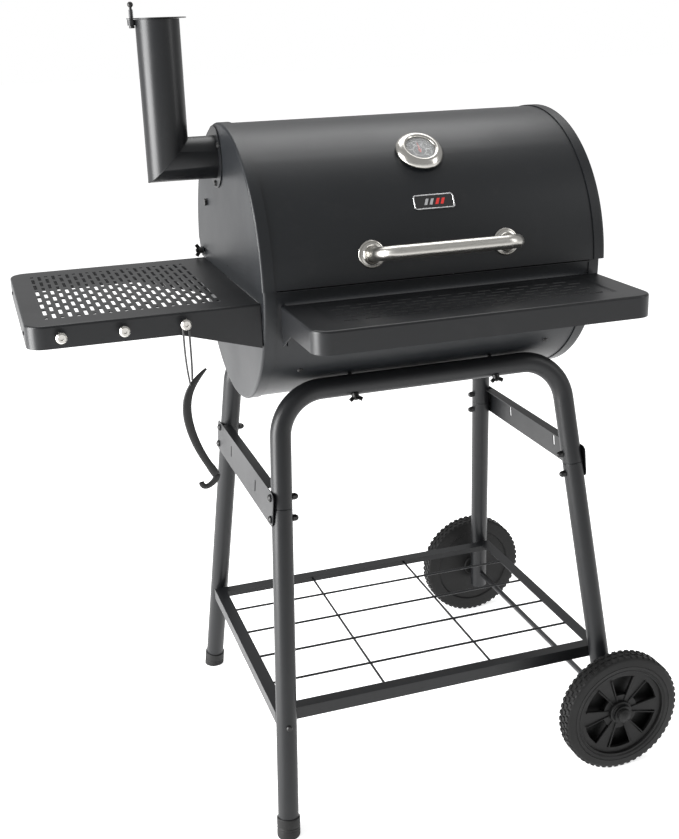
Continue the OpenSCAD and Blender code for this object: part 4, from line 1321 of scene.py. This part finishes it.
@dataclass
class Running:
    """Axle, spacers and push caps."""

    paint: Paintbox

    def build(self) -> None:
        """Eases the turned pieces between the wheels."""
        self.paint.ease("axle", "zinc", "stand", 0.0006)
        self.paint.ease("axle_spacers", "stand", "stand", 0.0004)
        self.paint.ease("axle_caps", "wheel", "stand", 0.0006)


@dataclass
class Bowl:
    """The fire bowl, its ledges and grates."""

    paint: Paintbox

    def build(self) -> None:
        """Eases the bowl's sheets and everything inside it."""
        for node in ("bowl_shell", "bowl_left_cap", "bowl_right_cap"):
            self.paint.ease(node, "barrel", "stand", 0.0005)
        for node in ("grate_ledges", "charcoal_ledges"):
            self.paint.ease(node, "barrel", "stand", 0.0004)
        for node in ("bowl_mount_bolts", "bowl_wing_nuts", "ledge_rivets"):
            self.paint.ease(node, "bolt", "stand", 0.0003)
        for node in ("left_cooking_grate", "right_cooking_grate", "charcoal_grate"):
            self.paint.ease(node, "grate", node, 0.0004)


@dataclass
class Lid:
    """The lid's shell, caps and their fasteners."""

    paint: Paintbox

    def build(self) -> None:
        """Eases the lid's sheets and their fasteners."""
        for node in ("lid_shell", "lid_left_cap", "lid_right_cap"):
            self.paint.ease(node, "barrel", "lid", 0.0005)
        self.paint.ease("lid_cap_bolts", "bolt", "lid", 0.0004)
        for node in ("hinge_bolts", "hinge_wing_nuts"):
            self.paint.ease(node, "bolt", "stand", 0.0003)


@dataclass
class Handle:
    """A bent stainless tube on two flared rings."""

    layout: Layout
    paint: Paintbox
    angle: float = 10.6
    lid_r: float = 0.213
    post_x: float = 0.1035
    tube_r: float = 10 * MM
    reach: float = 0.059
    bend_r: float = 0.028

    def tube(self) -> bpy.types.Object:
        """The tube's two posts, bends and grip."""
        face = self.layout.on_lid(self.angle)
        line: list[Vector] = []
        for sx in (-1, 1):
            middle = (self.post_x - self.bend_r, self.lid_r + self.reach - self.bend_r)
            bend = [face.at(sx * x, 0, radius) for x, radius in arc(self.bend_r, 0, 90, 12, middle)]
            leg = [face.at(sx * self.post_x, 0, self.lid_r + 0.0016), *bend]
            line += leg if sx < 0 else leg[::-1]
        return sweep("lid_handle_tube", line, self.tube_r - 0.02 * MM, sides=48)

    def rings(self) -> bpy.types.Object:
        """The flared rings at the posts' feet."""
        face = self.layout.on_lid(self.angle)
        neck, base = self.tube_r + 0.0002, self.tube_r + 0.0099
        profile = [
            (neck, 0.0002), (base, 0.0002), (base, 0.0012), (base - 0.0008, 0.0021),
            (base - 0.0022, 0.0024), (base - 0.0030, 0.0019), (base - 0.0038, 0.0021),
            *[(neck + 0.0052 - 0.0038 * math.sin(a), 0.0024 + 0.0055 * (1 - math.cos(a)))
              for a in (i * math.pi / 16 for i in range(7))],
            (neck + 0.0010, 0.0086), (neck + 0.0004, 0.0090), (neck, 0.0088),
        ]
        feet = [face.at(s * self.post_x, 0, self.lid_r) for s in (-1, 1)]
        made = [lathe("ring", profile, foot, face.out, steps=64, closed=True) for foot in feet]
        return join("handle_escutcheons_turned", made)

    def build(self) -> None:
        """Makes the handle."""
        self.paint.dress(self.tube(), "handle", "lid", "lid_handle")
        self.paint.dress(self.rings(), "bezel", "lid", "handle_escutcheons")
        self.paint.ease("handle_screws", "zinc", "lid", 0.0004)


@dataclass
class Thermometer:
    """Bezel, printed dial, needle and window."""

    layout: Layout
    paint: Paintbox
    angle: float = 51.3
    base_r: float = 0.2134
    radius: float = 36 * MM
    dial_r: float = 21.6 * MM
    first: float = 225.0
    span: float = 270.0

    def __post_init__(self) -> None:
        """Finds the lid's face at the thermometer."""
        self.face = self.layout.on_lid(self.angle)

    def at(self, x: float, up: float, out: float) -> Vector:
        """A point on the dial's own axes."""
        return self.face.at(x, up, self.base_r + out)

    def bezel(self) -> bpy.types.Object:
        """A wide polished ring that falls to the dial."""
        r, inner = self.radius, self.dial_r
        profile = [
            (0.0053, 0.0001), (r - 0.0028, 0.0001), (r - 0.0008, 0.0010), (r - 0.0001, 0.0024),
            (r - 0.0003, 0.0042), (r - 0.0014, 0.0062), (r - 0.0034, 0.0086), (r - 0.0060, 0.0107),
            (r - 0.0086, 0.0119), (r - 0.0108, 0.0123), (inner + 0.0022, 0.0119),
            (inner + 0.0008, 0.0111), (inner + 0.0001, 0.0100), (inner + 0.0001, 0.0022), (0.0053, 0.0022),
        ]
        return lathe("gauge_bezel_spun", profile, self.at(0, 0, 0), self.face.out, steps=128, closed=True)

    def dial(self) -> bpy.types.Object:
        """The dial plate with a shallow rim."""
        r = self.dial_r - 0.0003
        profile = [
            (0.0013, 0.0036), (r, 0.0036), (r, 0.0046), (r - 0.0006, 0.0047), (r - 0.0009, 0.0044),
            (0.0013, 0.0044),
        ]
        return lathe("gauge_dial_plate", profile, self.at(0, 0, 0), self.face.out, steps=96, closed=True)

    def ray(self, share: float) -> tuple[float, float]:
        """The direction of a reading, given as a share of the scale."""
        angle = math.radians(self.first - self.span * share)
        return math.cos(angle), math.sin(angle)

    def bar(self, share: float, start: float, end: float, wide: float, lift: float) -> bpy.types.Object:
        """A printed tick between two radii.

        Args:
            share: Where on the scale it stands, from nought to one.
            start: Its inner radius.
            end: Its outer radius.
            wide: Its width.
            lift: Its height above the thermometer's base.

        Returns:
            The tick.
        """
        c, s = self.ray(share)
        half = wide / 2
        tick = box_piece("tick", Vector((start, -half, 0)), Vector((end, half, 0.00008)))
        across = self.face.up * c - Vector((1, 0, 0)) * s
        along = Vector((1, 0, 0)) * c + self.face.up * s
        turn = Matrix((along, across, self.face.out)).transposed().to_4x4()
        tick.data.transform(Matrix.Translation(self.at(0, 0, lift)) @ turn)
        return tick

    def numeral(self, text: str, share: float, radius: float, size: float) -> bpy.types.Object:
        """A printed number on the scale.

        Args:
            text: The number.
            share: Where on the scale it stands.
            radius: Its middle's radius.
            size: Its height.

        Returns:
            The number as a mesh.
        """
        deselect()
        bpy.ops.object.text_add()
        word = bpy.context.active_object
        word.data.body = text
        word.data.size = size
        word.data.align_x, word.data.align_y = "CENTER", "CENTER"
        word.data.extrude = 0.00003
        word.data.resolution_u = 3
        bpy.ops.object.convert(target="MESH")
        word = bpy.context.active_object
        c, s = self.ray(share)
        turn = Matrix((Vector((1, 0, 0)), self.face.up, self.face.out)).transposed().to_4x4()
        word.data.transform(Matrix.Translation(self.at(radius * c, radius * s, 0.00446)) @ turn)
        return word

    def printing(self) -> bpy.types.Object:
        """Ticks, an inner ring and numbers, as printed on the plate."""
        marks = []
        for i in range(51):
            long = i % 5 == 0
            start = 0.0160 if long else 0.0176
            marks.append(self.bar(i / 50, start, 0.0193, 0.0005 if long else 0.0003, 0.0044))
        for i in range(41):
            marks.append(self.bar(i / 40, 0.0089, 0.0099, 0.00025, 0.0044))
        ring = [(0.00995, 0.0044), (0.01025, 0.0044), (0.01025, 0.00448), (0.00995, 0.00448)]
        marks.append(lathe("ring", ring, self.at(0, 0, 0), self.face.out, steps=72, closed=True))
        for i in range(6):
            marks.append(self.numeral(str(100 + 100 * i), i / 5, 0.0132, 0.0033))
        return join("gauge_dial_print", marks)

    def needle(self) -> bpy.types.Object:
        """A tapered pointer with a domed boss, pointing along the scale's middle."""
        low = self.dial_r - 0.0062
        blade = box_piece("needle", Vector((-0.0010, -0.005, 0.0052)), Vector((0.0010, low, 0.0058)))
        with editing(blade, Pick.VERTS):
            pick_verts(blade, lambda p: p.y > 0)
            bpy.ops.transform.resize(value=(0.25, 1, 1), center_override=(0, 0, 0.0055))
        turn = Matrix((Vector((1, 0, 0)), self.face.up, self.face.out)).transposed().to_4x4()
        blade.data.transform(Matrix.Translation(self.at(0, 0, 0)) @ turn)
        profile = [
            (0.00106, 0.0052), (0.0024, 0.0052), (0.0024, 0.0058), (0.0019, 0.0062), (0.00106, 0.0062),
        ]
        boss = lathe("boss", profile, self.at(0, 0, 0), self.face.out, steps=32, closed=True)
        return join("gauge_needle_blade", [blade, boss])

    def window(self) -> bpy.types.Object:
        """A slightly domed glass."""
        r = self.dial_r - 0.0001
        profile = [
            (0, 0.0080), (r, 0.0080), (r, 0.0088), (r * 0.8, 0.0093), (r * 0.5, 0.0096), (0, 0.0097),
        ]
        return lathe("gauge_lens_window", profile, self.at(0, 0, 0), self.face.out, steps=96)

    def build(self) -> None:
        """Makes the thermometer."""
        self.paint.dress(self.bezel(), "bezel", "lid", "gauge_bezel", angle=50)
        self.paint.dress(self.dial(), "dial", "lid", "gauge_dial")
        self.paint.dress(self.printing(), "print", "lid")
        self.paint.dress(self.needle(), "needle", "needle", "gauge_needle")
        self.paint.dress(self.window(), "glass", "lid", "gauge_lens", angle=60)
        self.paint.ease("gauge_stem", "zinc", "lid", 0.0004)
        self.paint.ease("gauge_nut", "zinc", "lid", 0.0004)


@dataclass
class Badge:
    """A plain rounded plate in a bright frame, with four slanted bars."""

    layout: Layout
    paint: Paintbox
    angle: float = 28.6
    base_r: float = 0.2131
    width: float = 62 * MM
    height: float = 22 * MM
    corner: float = 4.5 * MM
    border: float = 1.6 * MM
    frame_h: float = 2.4 * MM
    plate_h: float = 1.6 * MM
    bar: tuple[float, float] = (4.4 * MM, 9 * MM)
    bar_h: float = 0.4 * MM
    slant: float = 4 * MM

    def plate(
        self, name: str, w: float, h: float, corner: float, low: float, high: float
    ) -> bpy.types.Object:
        """Draws a rounded block flat, before it is laid on the lid.

        Args:
            name: The new piece's name.
            w: Its width.
            h: Its height up the lid.
            corner: The radius of its corners.
            low: Its underside's distance from the lid.
            high: Its top's distance from the lid.

        Returns:
            The block.
        """
        piece = box_piece(name, Vector((-w / 2, -h / 2, low)), Vector((w / 2, h / 2, high)))
        with editing(piece, Pick.EDGES):
            pick_edges(piece, lambda c, d: abs(d.z) > 0.9)
            bpy.ops.mesh.bevel(offset=corner, segments=8)
        return piece

    def put(self, piece: bpy.types.Object) -> bpy.types.Object:
        """Lays a flat drawing on the lid."""
        face = self.layout.on_lid(self.angle)
        turn = Matrix((Vector((1, 0, 0)), face.up, face.out)).transposed().to_4x4()
        piece.data.transform(Matrix.Translation(face.at(0, 0, self.base_r)) @ turn)
        return piece

    def frame(self) -> bpy.types.Object:
        """The bright border with a rounded top."""
        piece = self.plate("badge_frame_bright", self.width, self.height, self.corner, 0, self.frame_h)
        with editing(piece):
            pick_faces(piece, lambda c, n: abs(n.z) > 0.9)
            bpy.ops.mesh.inset(thickness=self.border)
            bpy.ops.mesh.bridge_edge_loops()
        soften(piece, 0.0005, 3, 40)
        return self.put(piece)

    def bars(self, name: str, places: Sequence[float]) -> bpy.types.Object:
        """Slanted bars raised on the plate.

        Args:
            name: The joined bars' name.
            places: Each bar's place along the plate.

        Returns:
            The bars.
        """
        made = []
        for x in places:
            half = Vector((self.bar[0] / 2, self.bar[1] / 2, 0))
            foot, top = Vector((x, 0, self.plate_h)), Vector((x, 0, self.plate_h + self.bar_h))
            bar = box_piece("bar", foot - half, top + half)
            with editing(bar, Pick.VERTS):
                pick_verts(bar, lambda p: p.y > 0)
                bpy.ops.transform.translate(value=(self.slant, 0, 0))
            soften(bar, 0.00015, 1)
            made.append(self.put(bar))
        return join(name, made)

    def build(self) -> None:
        """Makes the badge."""
        inside = 2 * self.border + 0.2 * MM
        plate = self.plate(
            "badge_plate", self.width - inside, self.height - inside, 3 * MM, 0, self.plate_h
        )
        soften(plate, 0.0002, 2)
        self.paint.dress(self.put(plate), "plate", "lid", "badge")
        self.paint.dress(self.frame(), "trim", "lid", "badge_frame")
        self.paint.dress(self.bars("badge_bars_bright", (-0.0135, -0.0055)), "trim", "lid")
        self.paint.dress(self.bars("badge_bars_red", (0.0035, 0.0115)), "flame", "lid")


@dataclass
class Chimney:
    """A mitred tube with its flange, damper, pin and spring."""

    layout: Layout
    paint: Paintbox
    radius: float = 32 * MM
    wall: float = 1.2 * MM
    x: float = -0.338
    y: float = 0.034
    level_z: float = 0.999
    top_z: float = 1.200
    lid_x: float = -0.2656
    pin_x: float = -0.375

    def half(self, name: str, end: Vector, mitre: Vector) -> bpy.types.Object:
        """A straight length of the elbow, cut at the mitre.

        Args:
            name: The new piece's name.
            end: The middle of its open end.
            mitre: The mitre plane's normal, pointing to the side that is kept.

        Returns:
            The cut length, with no wall yet.
        """
        corner = self.layout.at(self.x, self.y, self.level_z)
        start = corner - (end - corner).normalized() * self.radius * 1.5
        piece = rod_piece(name, start, end, self.radius, 72)
        axis = (end - start).normalized()
        with editing(piece):
            pick_faces(piece, lambda c, n: abs(n.dot(axis)) > 0.9)
            bpy.ops.mesh.delete(type="FACE")
            bpy.ops.mesh.select_all(action="SELECT")
            bpy.ops.mesh.bisect(plane_co=corner, plane_no=mitre, clear_inner=True)
        return piece

    def tube(self) -> bpy.types.Object:
        """Both halves welded along the mitre, with a wall."""
        top = self.layout.at(self.x, self.y, self.top_z)
        lid = self.layout.at(self.lid_x, self.y, self.level_z)
        piece = join("chimney_tube_rolled", [
            self.half("upright", top, Vector((-1, 0, 1))),
            self.half("level", lid, Vector((1, 0, -1))),
        ])
        close_up(piece, 2e-5)
        modify(piece, "SOLIDIFY", thickness=self.wall, offset=-1, use_even_offset=True)
        soften(piece, 0.0003, 2, 35)
        return piece

    def ear(self) -> bpy.types.Object:
        """The small eye that carries the damper's pin."""
        top = self.top_z
        profile = [(0.00255, -0.008), (0.006, -0.008), (0.006, 0), (0.00255, 0)]
        middle = self.layout.at(self.pin_x, self.y, top)
        eye = lathe("eye", profile, middle, Vector((0, 0, 1)), 32, closed=True)
        arm = box_piece(
            "arm", self.layout.at(self.pin_x + 0.0045, self.y - 0.0045, top - 0.0075),
            self.layout.at(self.pin_x + 0.0068, self.y + 0.0045, top - 0.0003),
        )
        return join("chimney_eye", [eye, arm])

    def weld(self) -> bpy.types.Object:
        """The low bead along the mitre."""
        corner = self.layout.at(self.x, self.y, self.level_z)
        r = self.radius - 0.0003
        line = []
        for i in range(72):
            a = math.tau * i / 72
            line.append(corner + Vector((r * math.cos(a), r * math.sin(a), r * math.cos(a))))
        return sweep("chimney_weld", line, 0.0006, sides=8, cyclic=True)

    def pin(self) -> bpy.types.Object:
        """The damper's pin with its nut, sleeve end and ball knob."""
        base = self.layout.at(self.pin_x, self.y, self.top_z)
        profile = [
            (0, -0.0119), (0.0037, -0.0119), (0.004, -0.0115), (0.004, -0.0085), (0.0037, -0.0081),
            (0.00245, -0.0081), (0.00245, 0.0140), (0.0019, 0.0146), (0.0019, 0.0165),
            *[(0.0042 * math.cos(a), 0.0205 + 0.0042 * math.sin(a))
              for a in (math.radians(-62 + 152 * i / 12) for i in range(12))],
            (0, 0.0247),
        ]
        return lathe("damper_pin_turned", profile, base, Vector((0, 0, 1)), 32)

    def spring(self) -> bpy.types.Object:
        """The coil that presses on the damper."""
        turns, per = 6, 20
        line = []
        for i in range(turns * per + 1):
            a = math.tau * i / per
            z = self.top_z + 0.0030 + 0.0100 * i / (turns * per)
            line.append(self.layout.at(
                self.pin_x + 0.0030 * math.cos(a), self.y + 0.0030 * math.sin(a), z
            ))
        return sweep("damper_spring", line, 0.00045, sides=8)

    def build(self) -> None:
        """Makes the chimney."""
        self.paint.dress(self.tube(), "chimney", "lid", "chimney_tube", angle=35)
        self.paint.dress(self.ear(), "chimney", "lid")
        self.paint.dress(self.weld(), "chimney", "lid", angle=60)
        self.paint.dress(self.pin(), "bolt", "lid", "damper_pin", angle=50)
        self.paint.dress(self.spring(), "zinc", "lid", angle=60)
        self.paint.ease("chimney_flange", "chimney", "lid", 0.0005)
        self.paint.ease("chimney_bolts", "bolt", "lid", 0.0003)
        self.paint.ease("damper_flap", "chimney", "damper", 0.0003)


@dataclass
class SideShelf:
    """A pressed tray with slots, deep skirts and three hook bolts."""

    paint: Paintbox
    skirt: float = 32 * MM
    corner: float = 25 * MM
    edge: float = 3.5 * MM
    gusset_len: float = 115 * MM
    flange: float = 22 * MM
    fold: float = 38 * MM
    columns: int = 23
    pitch_x: float = 10.8 * MM
    pitch_y: float = 44 * MM
    slot: tuple[float, float] = (5 * MM, 31 * MM)

    def tray(self) -> bpy.types.Object:
        """The bent tray before its slots are punched."""
        low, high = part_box("side_shelf")
        base = high.z - self.skirt
        tray = box_piece("side_shelf_pressed", Vector((low.x, low.y, base)), high)
        with editing(tray, Pick.FACES):
            pick_faces(tray, lambda c, n: n.z < -0.9 or n.x > 0.9)
            bpy.ops.mesh.delete(type="FACE")
        with editing(tray, Pick.EDGES):
            pick_edges(tray, lambda c, d: abs(d.z) > 0.9 and c.x < low.x + MM)
            bpy.ops.mesh.bevel(offset=self.corner, segments=12)
            for x in (high.x - self.gusset_len, high.x - self.fold, high.x - self.fold + 0.004):
                bpy.ops.mesh.select_all(action="SELECT")
                bpy.ops.mesh.bisect(plane_co=(x, 0, 0), plane_no=(1, 0, 0))
        with editing(tray, Pick.VERTS):
            pick_verts(tray, lambda p: p.z < base + MM and p.x > high.x - self.gusset_len + MM)
            self._slope(tray, high.x - self.gusset_len, high.x)
        with editing(tray, Pick.EDGES):
            pick_edges(tray, lambda c, d: c.z > high.z - 1e-5 and self._on_rim(c, d, low, high))
            bpy.ops.mesh.bevel(offset=self.edge, segments=4)
            for sy, y in ((1, low.y), (-1, high.y)):
                pick_edges(
                    tray, lambda c, d: c.x > high.x - 1e-5 and abs(d.z) > 0.99 and abs(c.y - y) < 1e-4
                )
                bpy.ops.mesh.extrude_edges_move(
                    TRANSFORM_OT_translate={"value": (0, sy * self.flange, 0)}
                )
        with editing(tray, Pick.VERTS):
            start = high.x - self.fold + 0.002
            pick_verts(tray, lambda p: p.x > start and p.z > high.z - 1e-4)
            bpy.ops.transform.translate(value=(0, 0, -0.0012))
        modify(tray, "SOLIDIFY", thickness=SHEET, offset=-1, use_even_offset=True)
        return tray

    @staticmethod
    def _on_rim(middle: Vector, way: Vector, low: Vector, high: Vector) -> bool:
        """Whether a top edge runs along the tray's folded sides."""
        inner_x, inner_y = low.x + 0.026, min(middle.y - low.y, high.y - middle.y)
        return inner_y < 1e-4 or middle.x < low.x + 1e-4 or (middle.x < inner_x and abs(way.y) > 0.01)

    def _slope(self, tray: bpy.types.Object, start: float, end: float) -> None:
        """Lowers the chosen skirt's edge towards the barrel.

        Args:
            tray: The tray in edit mode.
            start: Where the slope starts.
            end: Where it reaches a whole skirt's depth.
        """
        mesh = bmesh.from_edit_mesh(tray.data)
        for vert in mesh.verts:
            if vert.select:
                vert.co.z -= self.skirt * (vert.co.x - start) / (end - start)
        bmesh.update_edit_mesh(tray.data)

    def punches(self) -> bpy.types.Object:
        """All slots as one cutter: full columns between columns with short ends."""
        low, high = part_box("side_shelf")
        middle = (low.y + high.y) / 2
        made = []
        for i in range(self.columns):
            x = low.x + 0.032 + i * self.pitch_x
            rows = range(-3, 4) if i % 2 else (-2.5, -1.5, -0.5, 0.5, 1.5, 2.5)
            slots = [(row * self.pitch_y, self.slot[1]) for row in rows]
            if i % 2 == 0:
                slots += [(s * 3.3 * self.pitch_y, 8 * MM) for s in (-1, 1)]
            for y, length in slots:
                half = Vector((self.slot[0] / 2, length / 2, 0.004))
                place = Vector((x, middle + y, high.z))
                punch = box_piece("punch", place - half, place + half)
                with editing(punch, Pick.EDGES):
                    pick_edges(punch, lambda c, d: abs(d.z) > 0.9)
                    bpy.ops.mesh.bevel(offset=0.0014, segments=2)
                made.append(punch)
        return join("punches", made)

    def build(self) -> None:
        """Makes the shelf and eases its fasteners."""
        tray, punches = self.tray(), self.punches()
        modify(tray, "BOOLEAN", object=punches, operation="DIFFERENCE", solver="EXACT")
        remove(punches)
        self.paint.dress(tray, "shelf", "stand", "side_shelf", angle=30)
        self.paint.ease("side_shelf_hooks", "bezel", "stand", 0.0005)
        self.paint.ease("side_shelf_bolts", "bolt", "stand", 0.0003)


@dataclass
class FrontShelf:
    """A pressed tray with a sunk panel, raised dashes and gussets to the bowl."""

    layout: Layout
    paint: Paintbox
    skirt: float = 32 * MM
    corner: float = 25 * MM
    edge: float = 3.5 * MM
    back_y: float = -0.2108
    gusset: float = 26 * MM
    panel: float = 38 * MM
    sink: float = 1.6 * MM
    dash: tuple[float, float] = (21 * MM, 3.2 * MM)
    rows: int = 6
    per_row: int = 13

    def tray(self) -> bpy.types.Object:
        """The bent tray with its sunk panel."""
        low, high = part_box("front_shelf")
        back = self.layout.y + self.back_y
        base = high.z - self.skirt
        tray = box_piece("front_shelf_pressed", Vector((low.x, low.y, base)), Vector((high.x, back, high.z)))
        with editing(tray, Pick.FACES):
            pick_faces(tray, lambda c, n: n.z < -0.9 or n.y > 0.9)
            bpy.ops.mesh.delete(type="FACE")
        with editing(tray, Pick.EDGES):
            pick_edges(tray, lambda c, d: abs(d.z) > 0.9 and c.y < low.y + MM)
            bpy.ops.mesh.bevel(offset=self.corner, segments=12)
        left, right = low.x + self.panel, high.x - self.panel
        front, rear = low.y + self.panel, back - self.panel / 2
        with editing(tray):
            bpy.ops.mesh.select_all(action="SELECT")
            bpy.ops.mesh.bisect(plane_co=(0, back - 0.045, 0), plane_no=(0, 1, 0))
            for place, way in (
                ((left, 0, 0), (1, 0, 0)), ((right, 0, 0), (1, 0, 0)),
                ((0, front, 0), (0, 1, 0)), ((0, rear, 0), (0, 1, 0)),
            ):
                pick_faces(tray, lambda c, n: n.z > 0.9)
                bpy.ops.mesh.bisect(plane_co=place, plane_no=way)
            pick_faces(tray, lambda c, n: n.z > 0.9 and left < c.x < right and front < c.y < rear)
            bpy.ops.mesh.inset(thickness=0.003)
            bpy.ops.transform.translate(value=(0, 0, -self.sink))
        with editing(tray, Pick.VERTS):
            pick_verts(tray, lambda p: p.z < base + MM and p.y > back - MM)
            bpy.ops.transform.translate(value=(0, 0, -self.gusset))
        with editing(tray, Pick.EDGES):
            pick_edges(tray, lambda c, d: c.z > high.z - 1e-5 and self._outer(c, low, high))
            bpy.ops.mesh.bevel(offset=self.edge, segments=4)
        modify(tray, "SOLIDIFY", thickness=SHEET, offset=-1)
        return tray

    def _outer(self, middle: Vector, low: Vector, high: Vector) -> bool:
        """Whether a top edge runs along the tray's folded sides."""
        x, y = min(middle.x - low.x, high.x - middle.x), middle.y - low.y
        if x < 1e-4 or y < 1e-4:
            return True
        c = self.corner
        return x < c and y < c and abs(math.hypot(c - x, c - y) - c) < 0.0008

    def dashes(self) -> list[bpy.types.Object]:
        """Low dashes in staggered rows across the panel."""
        low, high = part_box("front_shelf")
        back = self.layout.y + self.back_y
        left, right = low.x + self.panel + 0.012, high.x - self.panel - 0.012
        front, rear = low.y + self.panel + 0.012, back - self.panel / 2 - 0.012
        step = (right - left) / self.per_row
        made = []
        for row in range(self.rows):
            y = front + (rear - front) * row / (self.rows - 1)
            count = self.per_row - row % 2
            for i in range(count):
                x = left + step * (i + 0.5 + 0.5 * (row % 2))
                half = Vector((self.dash[0] / 2, self.dash[1] / 2, 0.0005))
                place = Vector((x, y, high.z - self.sink))
                dash = box_piece("dash", place - half, place + half + Vector((0, 0, 0.0004)))
                with editing(dash):
                    pick_faces(dash, lambda c, n: n.z > 0.9)
                    bpy.ops.transform.resize(value=(0.9, 0.45, 1), center_override=place)
                made.append(dash)
        return made

    def brackets(self) -> bpy.types.Object:
        """The gussets' rear parts and tabs, kept from the frame's own shelf."""
        piece = merged_copy("front_shelf", "front_brackets")
        back = self.layout.y + self.back_y
        with editing(piece):
            bpy.ops.mesh.select_all(action="SELECT")
            bpy.ops.mesh.bisect(
                plane_co=(0, back + 1e-5, 0), plane_no=(0, 1, 0), clear_inner=True, use_fill=True,
            )
        soften(piece, 0.0003, 1)
        return piece

    def build(self) -> None:
        """Makes the shelf."""
        shelf = join("front_shelf_pressed", [self.tray(), *self.dashes(), self.brackets()])
        self.paint.dress(shelf, "shelf", "stand", "front_shelf", angle=30)
        self.paint.ease("front_shelf_bolts", "bolt", "stand", 0.0003)


@dataclass
class Lifter:
    """The curved grate lifter and the strap that it hangs by."""

    layout: Layout
    paint: Paintbox
    y: float = -0.200
    hook: tuple[float, float] = (-0.371, 0.803)
    fullness: tuple[float, float] = (1.22, 1.15)
    flatness: float = 0.53
    strap_r: float = 1.5 * MM
    strap_widening: float = 1.9

    def handle(self) -> bpy.types.Object:
        """The lifter's swelling, flattened handle."""
        line = [
            (-347, 737, 1.4), (-353, 732, 2.3), (-361, 724, 3.4), (-369, 714, 4.2), (-375, 702, 4.9),
            (-378.5, 687, 5.4), (-378.5, 669, 5.4), (-375, 649, 5.2), (-369, 629, 4.9), (-361, 610, 4.6),
            (-353, 595, 4.4), (-350, 590, 5.0), (-347, 584.5, 5.1), (-343.5, 578, 4.8),
        ]
        return self._flatten(self._rod("lifter_handle", line, self.fullness[0], 20))

    def claw(self) -> bpy.types.Object:
        """The claw that hooks under a grate's wire."""
        line = [
            (-342.5, 580, 4.4), (-343.5, 573, 4.6), (-350, 566.5, 4.1), (-358, 562, 3.9),
            (-363.5, 563.5, 4.0), (-365.5, 568, 3.8), (-366, 571, 3.2),
        ]
        return self._flatten(self._rod("lifter_claw", line, self.fullness[1], 16))

    def _rod(
        self, name: str, line: Sequence[tuple[float, float, float]], fullness: float, sides: int
    ) -> bpy.types.Object:
        """A round rod whose radius changes along its line.

        Args:
            name: The new piece's name.
            line: Its points as (x, z, radius) in millimetres.
            fullness: How much thicker it is made.
            sides: Faces round the rod.

        Returns:
            The rod.
        """
        points = [self.layout.at(x * MM, self.y, z * MM) for x, z, radius in line]
        radii = [radius * fullness * MM for x, z, radius in line]
        return sweep(name, points, radii, sides=sides)

    def _flatten(self, piece: bpy.types.Object) -> bpy.types.Object:
        """Presses a round rod to the lifter's thickness.

        Args:
            piece: The rod.

        Returns:
            The same piece.
        """
        with editing(piece, Pick.VERTS):
            bpy.ops.mesh.select_all(action="SELECT")
            centre = self.layout.at(0, self.y, 0.65)
            bpy.ops.transform.resize(value=(1, self.flatness, 1), center_override=centre)
        modify(piece, "SUBSURF", levels=1, render_levels=1)
        return piece

    def strap_side(self, name: str, line: Sequence[tuple[float, float]]) -> bpy.types.Object:
        """One run of the thin strap, a flat band on its line.

        Args:
            name: The new piece's name.
            line: Its points as (x, z) in millimetres.

        Returns:
            The band.
        """
        points = [self.layout.at(x * MM, self.y, z * MM) for x, z in line]
        piece = sweep(name, points, self.strap_r, sides=8)
        with editing(piece, Pick.VERTS):
            bpy.ops.mesh.select_all(action="SELECT")
            centre = self.layout.at(0, self.y, 0.75)
            bpy.ops.transform.resize(value=(1, self.strap_widening, 1), center_override=centre)
        modify(piece, "SUBSURF", levels=1, render_levels=1)
        return piece

    def strap(self) -> bpy.types.Object:
        """The strap's loop over the hook and both its runs to the lifter."""
        hx, hz = self.hook[0] / MM, self.hook[1] / MM
        over = arc(4.0, 0, 180, 10, (hx, hz))
        right = [(-368, 722), (-366.8, 735), (-366.6, 760), (-366.8, 785)]
        left = [(-375.2, 785), (-375, 760), (-373.5, 738), (-371.5, 719), (-369.5, 712)]
        return self.strap_side("lifter_strap", [*right, *over, *left])

    def build(self) -> None:
        """Makes the lifter."""
        lifter = join("grate_lifter_moulding", [self.handle(), self.claw()])
        self.paint.dress(lifter, "lifter", "lifter", "grate_lifter", angle=60)
        self.paint.dress(self.strap(), "strap", "lifter", "lifter_lanyard", angle=60)


def main() -> None:
    """Builds the studio and every sub-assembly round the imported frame."""
    logging.basicConfig(level=logging.INFO, format="%(message)s")
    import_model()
    layout = Layout.from_frame()
    Studio(layout).build()
    paint = Paintbox()
    for assembly in (
        Stand(layout, paint), Rack(paint), Running(paint),
        Wheel(paint, Side.FRONT), Wheel(paint, Side.REAR),
        Bowl(paint), Lid(paint), Handle(layout, paint), Thermometer(layout, paint),
        Badge(layout, paint), Chimney(layout, paint), SideShelf(paint),
        FrontShelf(layout, paint), Lifter(layout, paint),
    ):
        log.info("building %s", type(assembly).__name__)
        assembly.build()


if __name__ == "__main__":
    main()
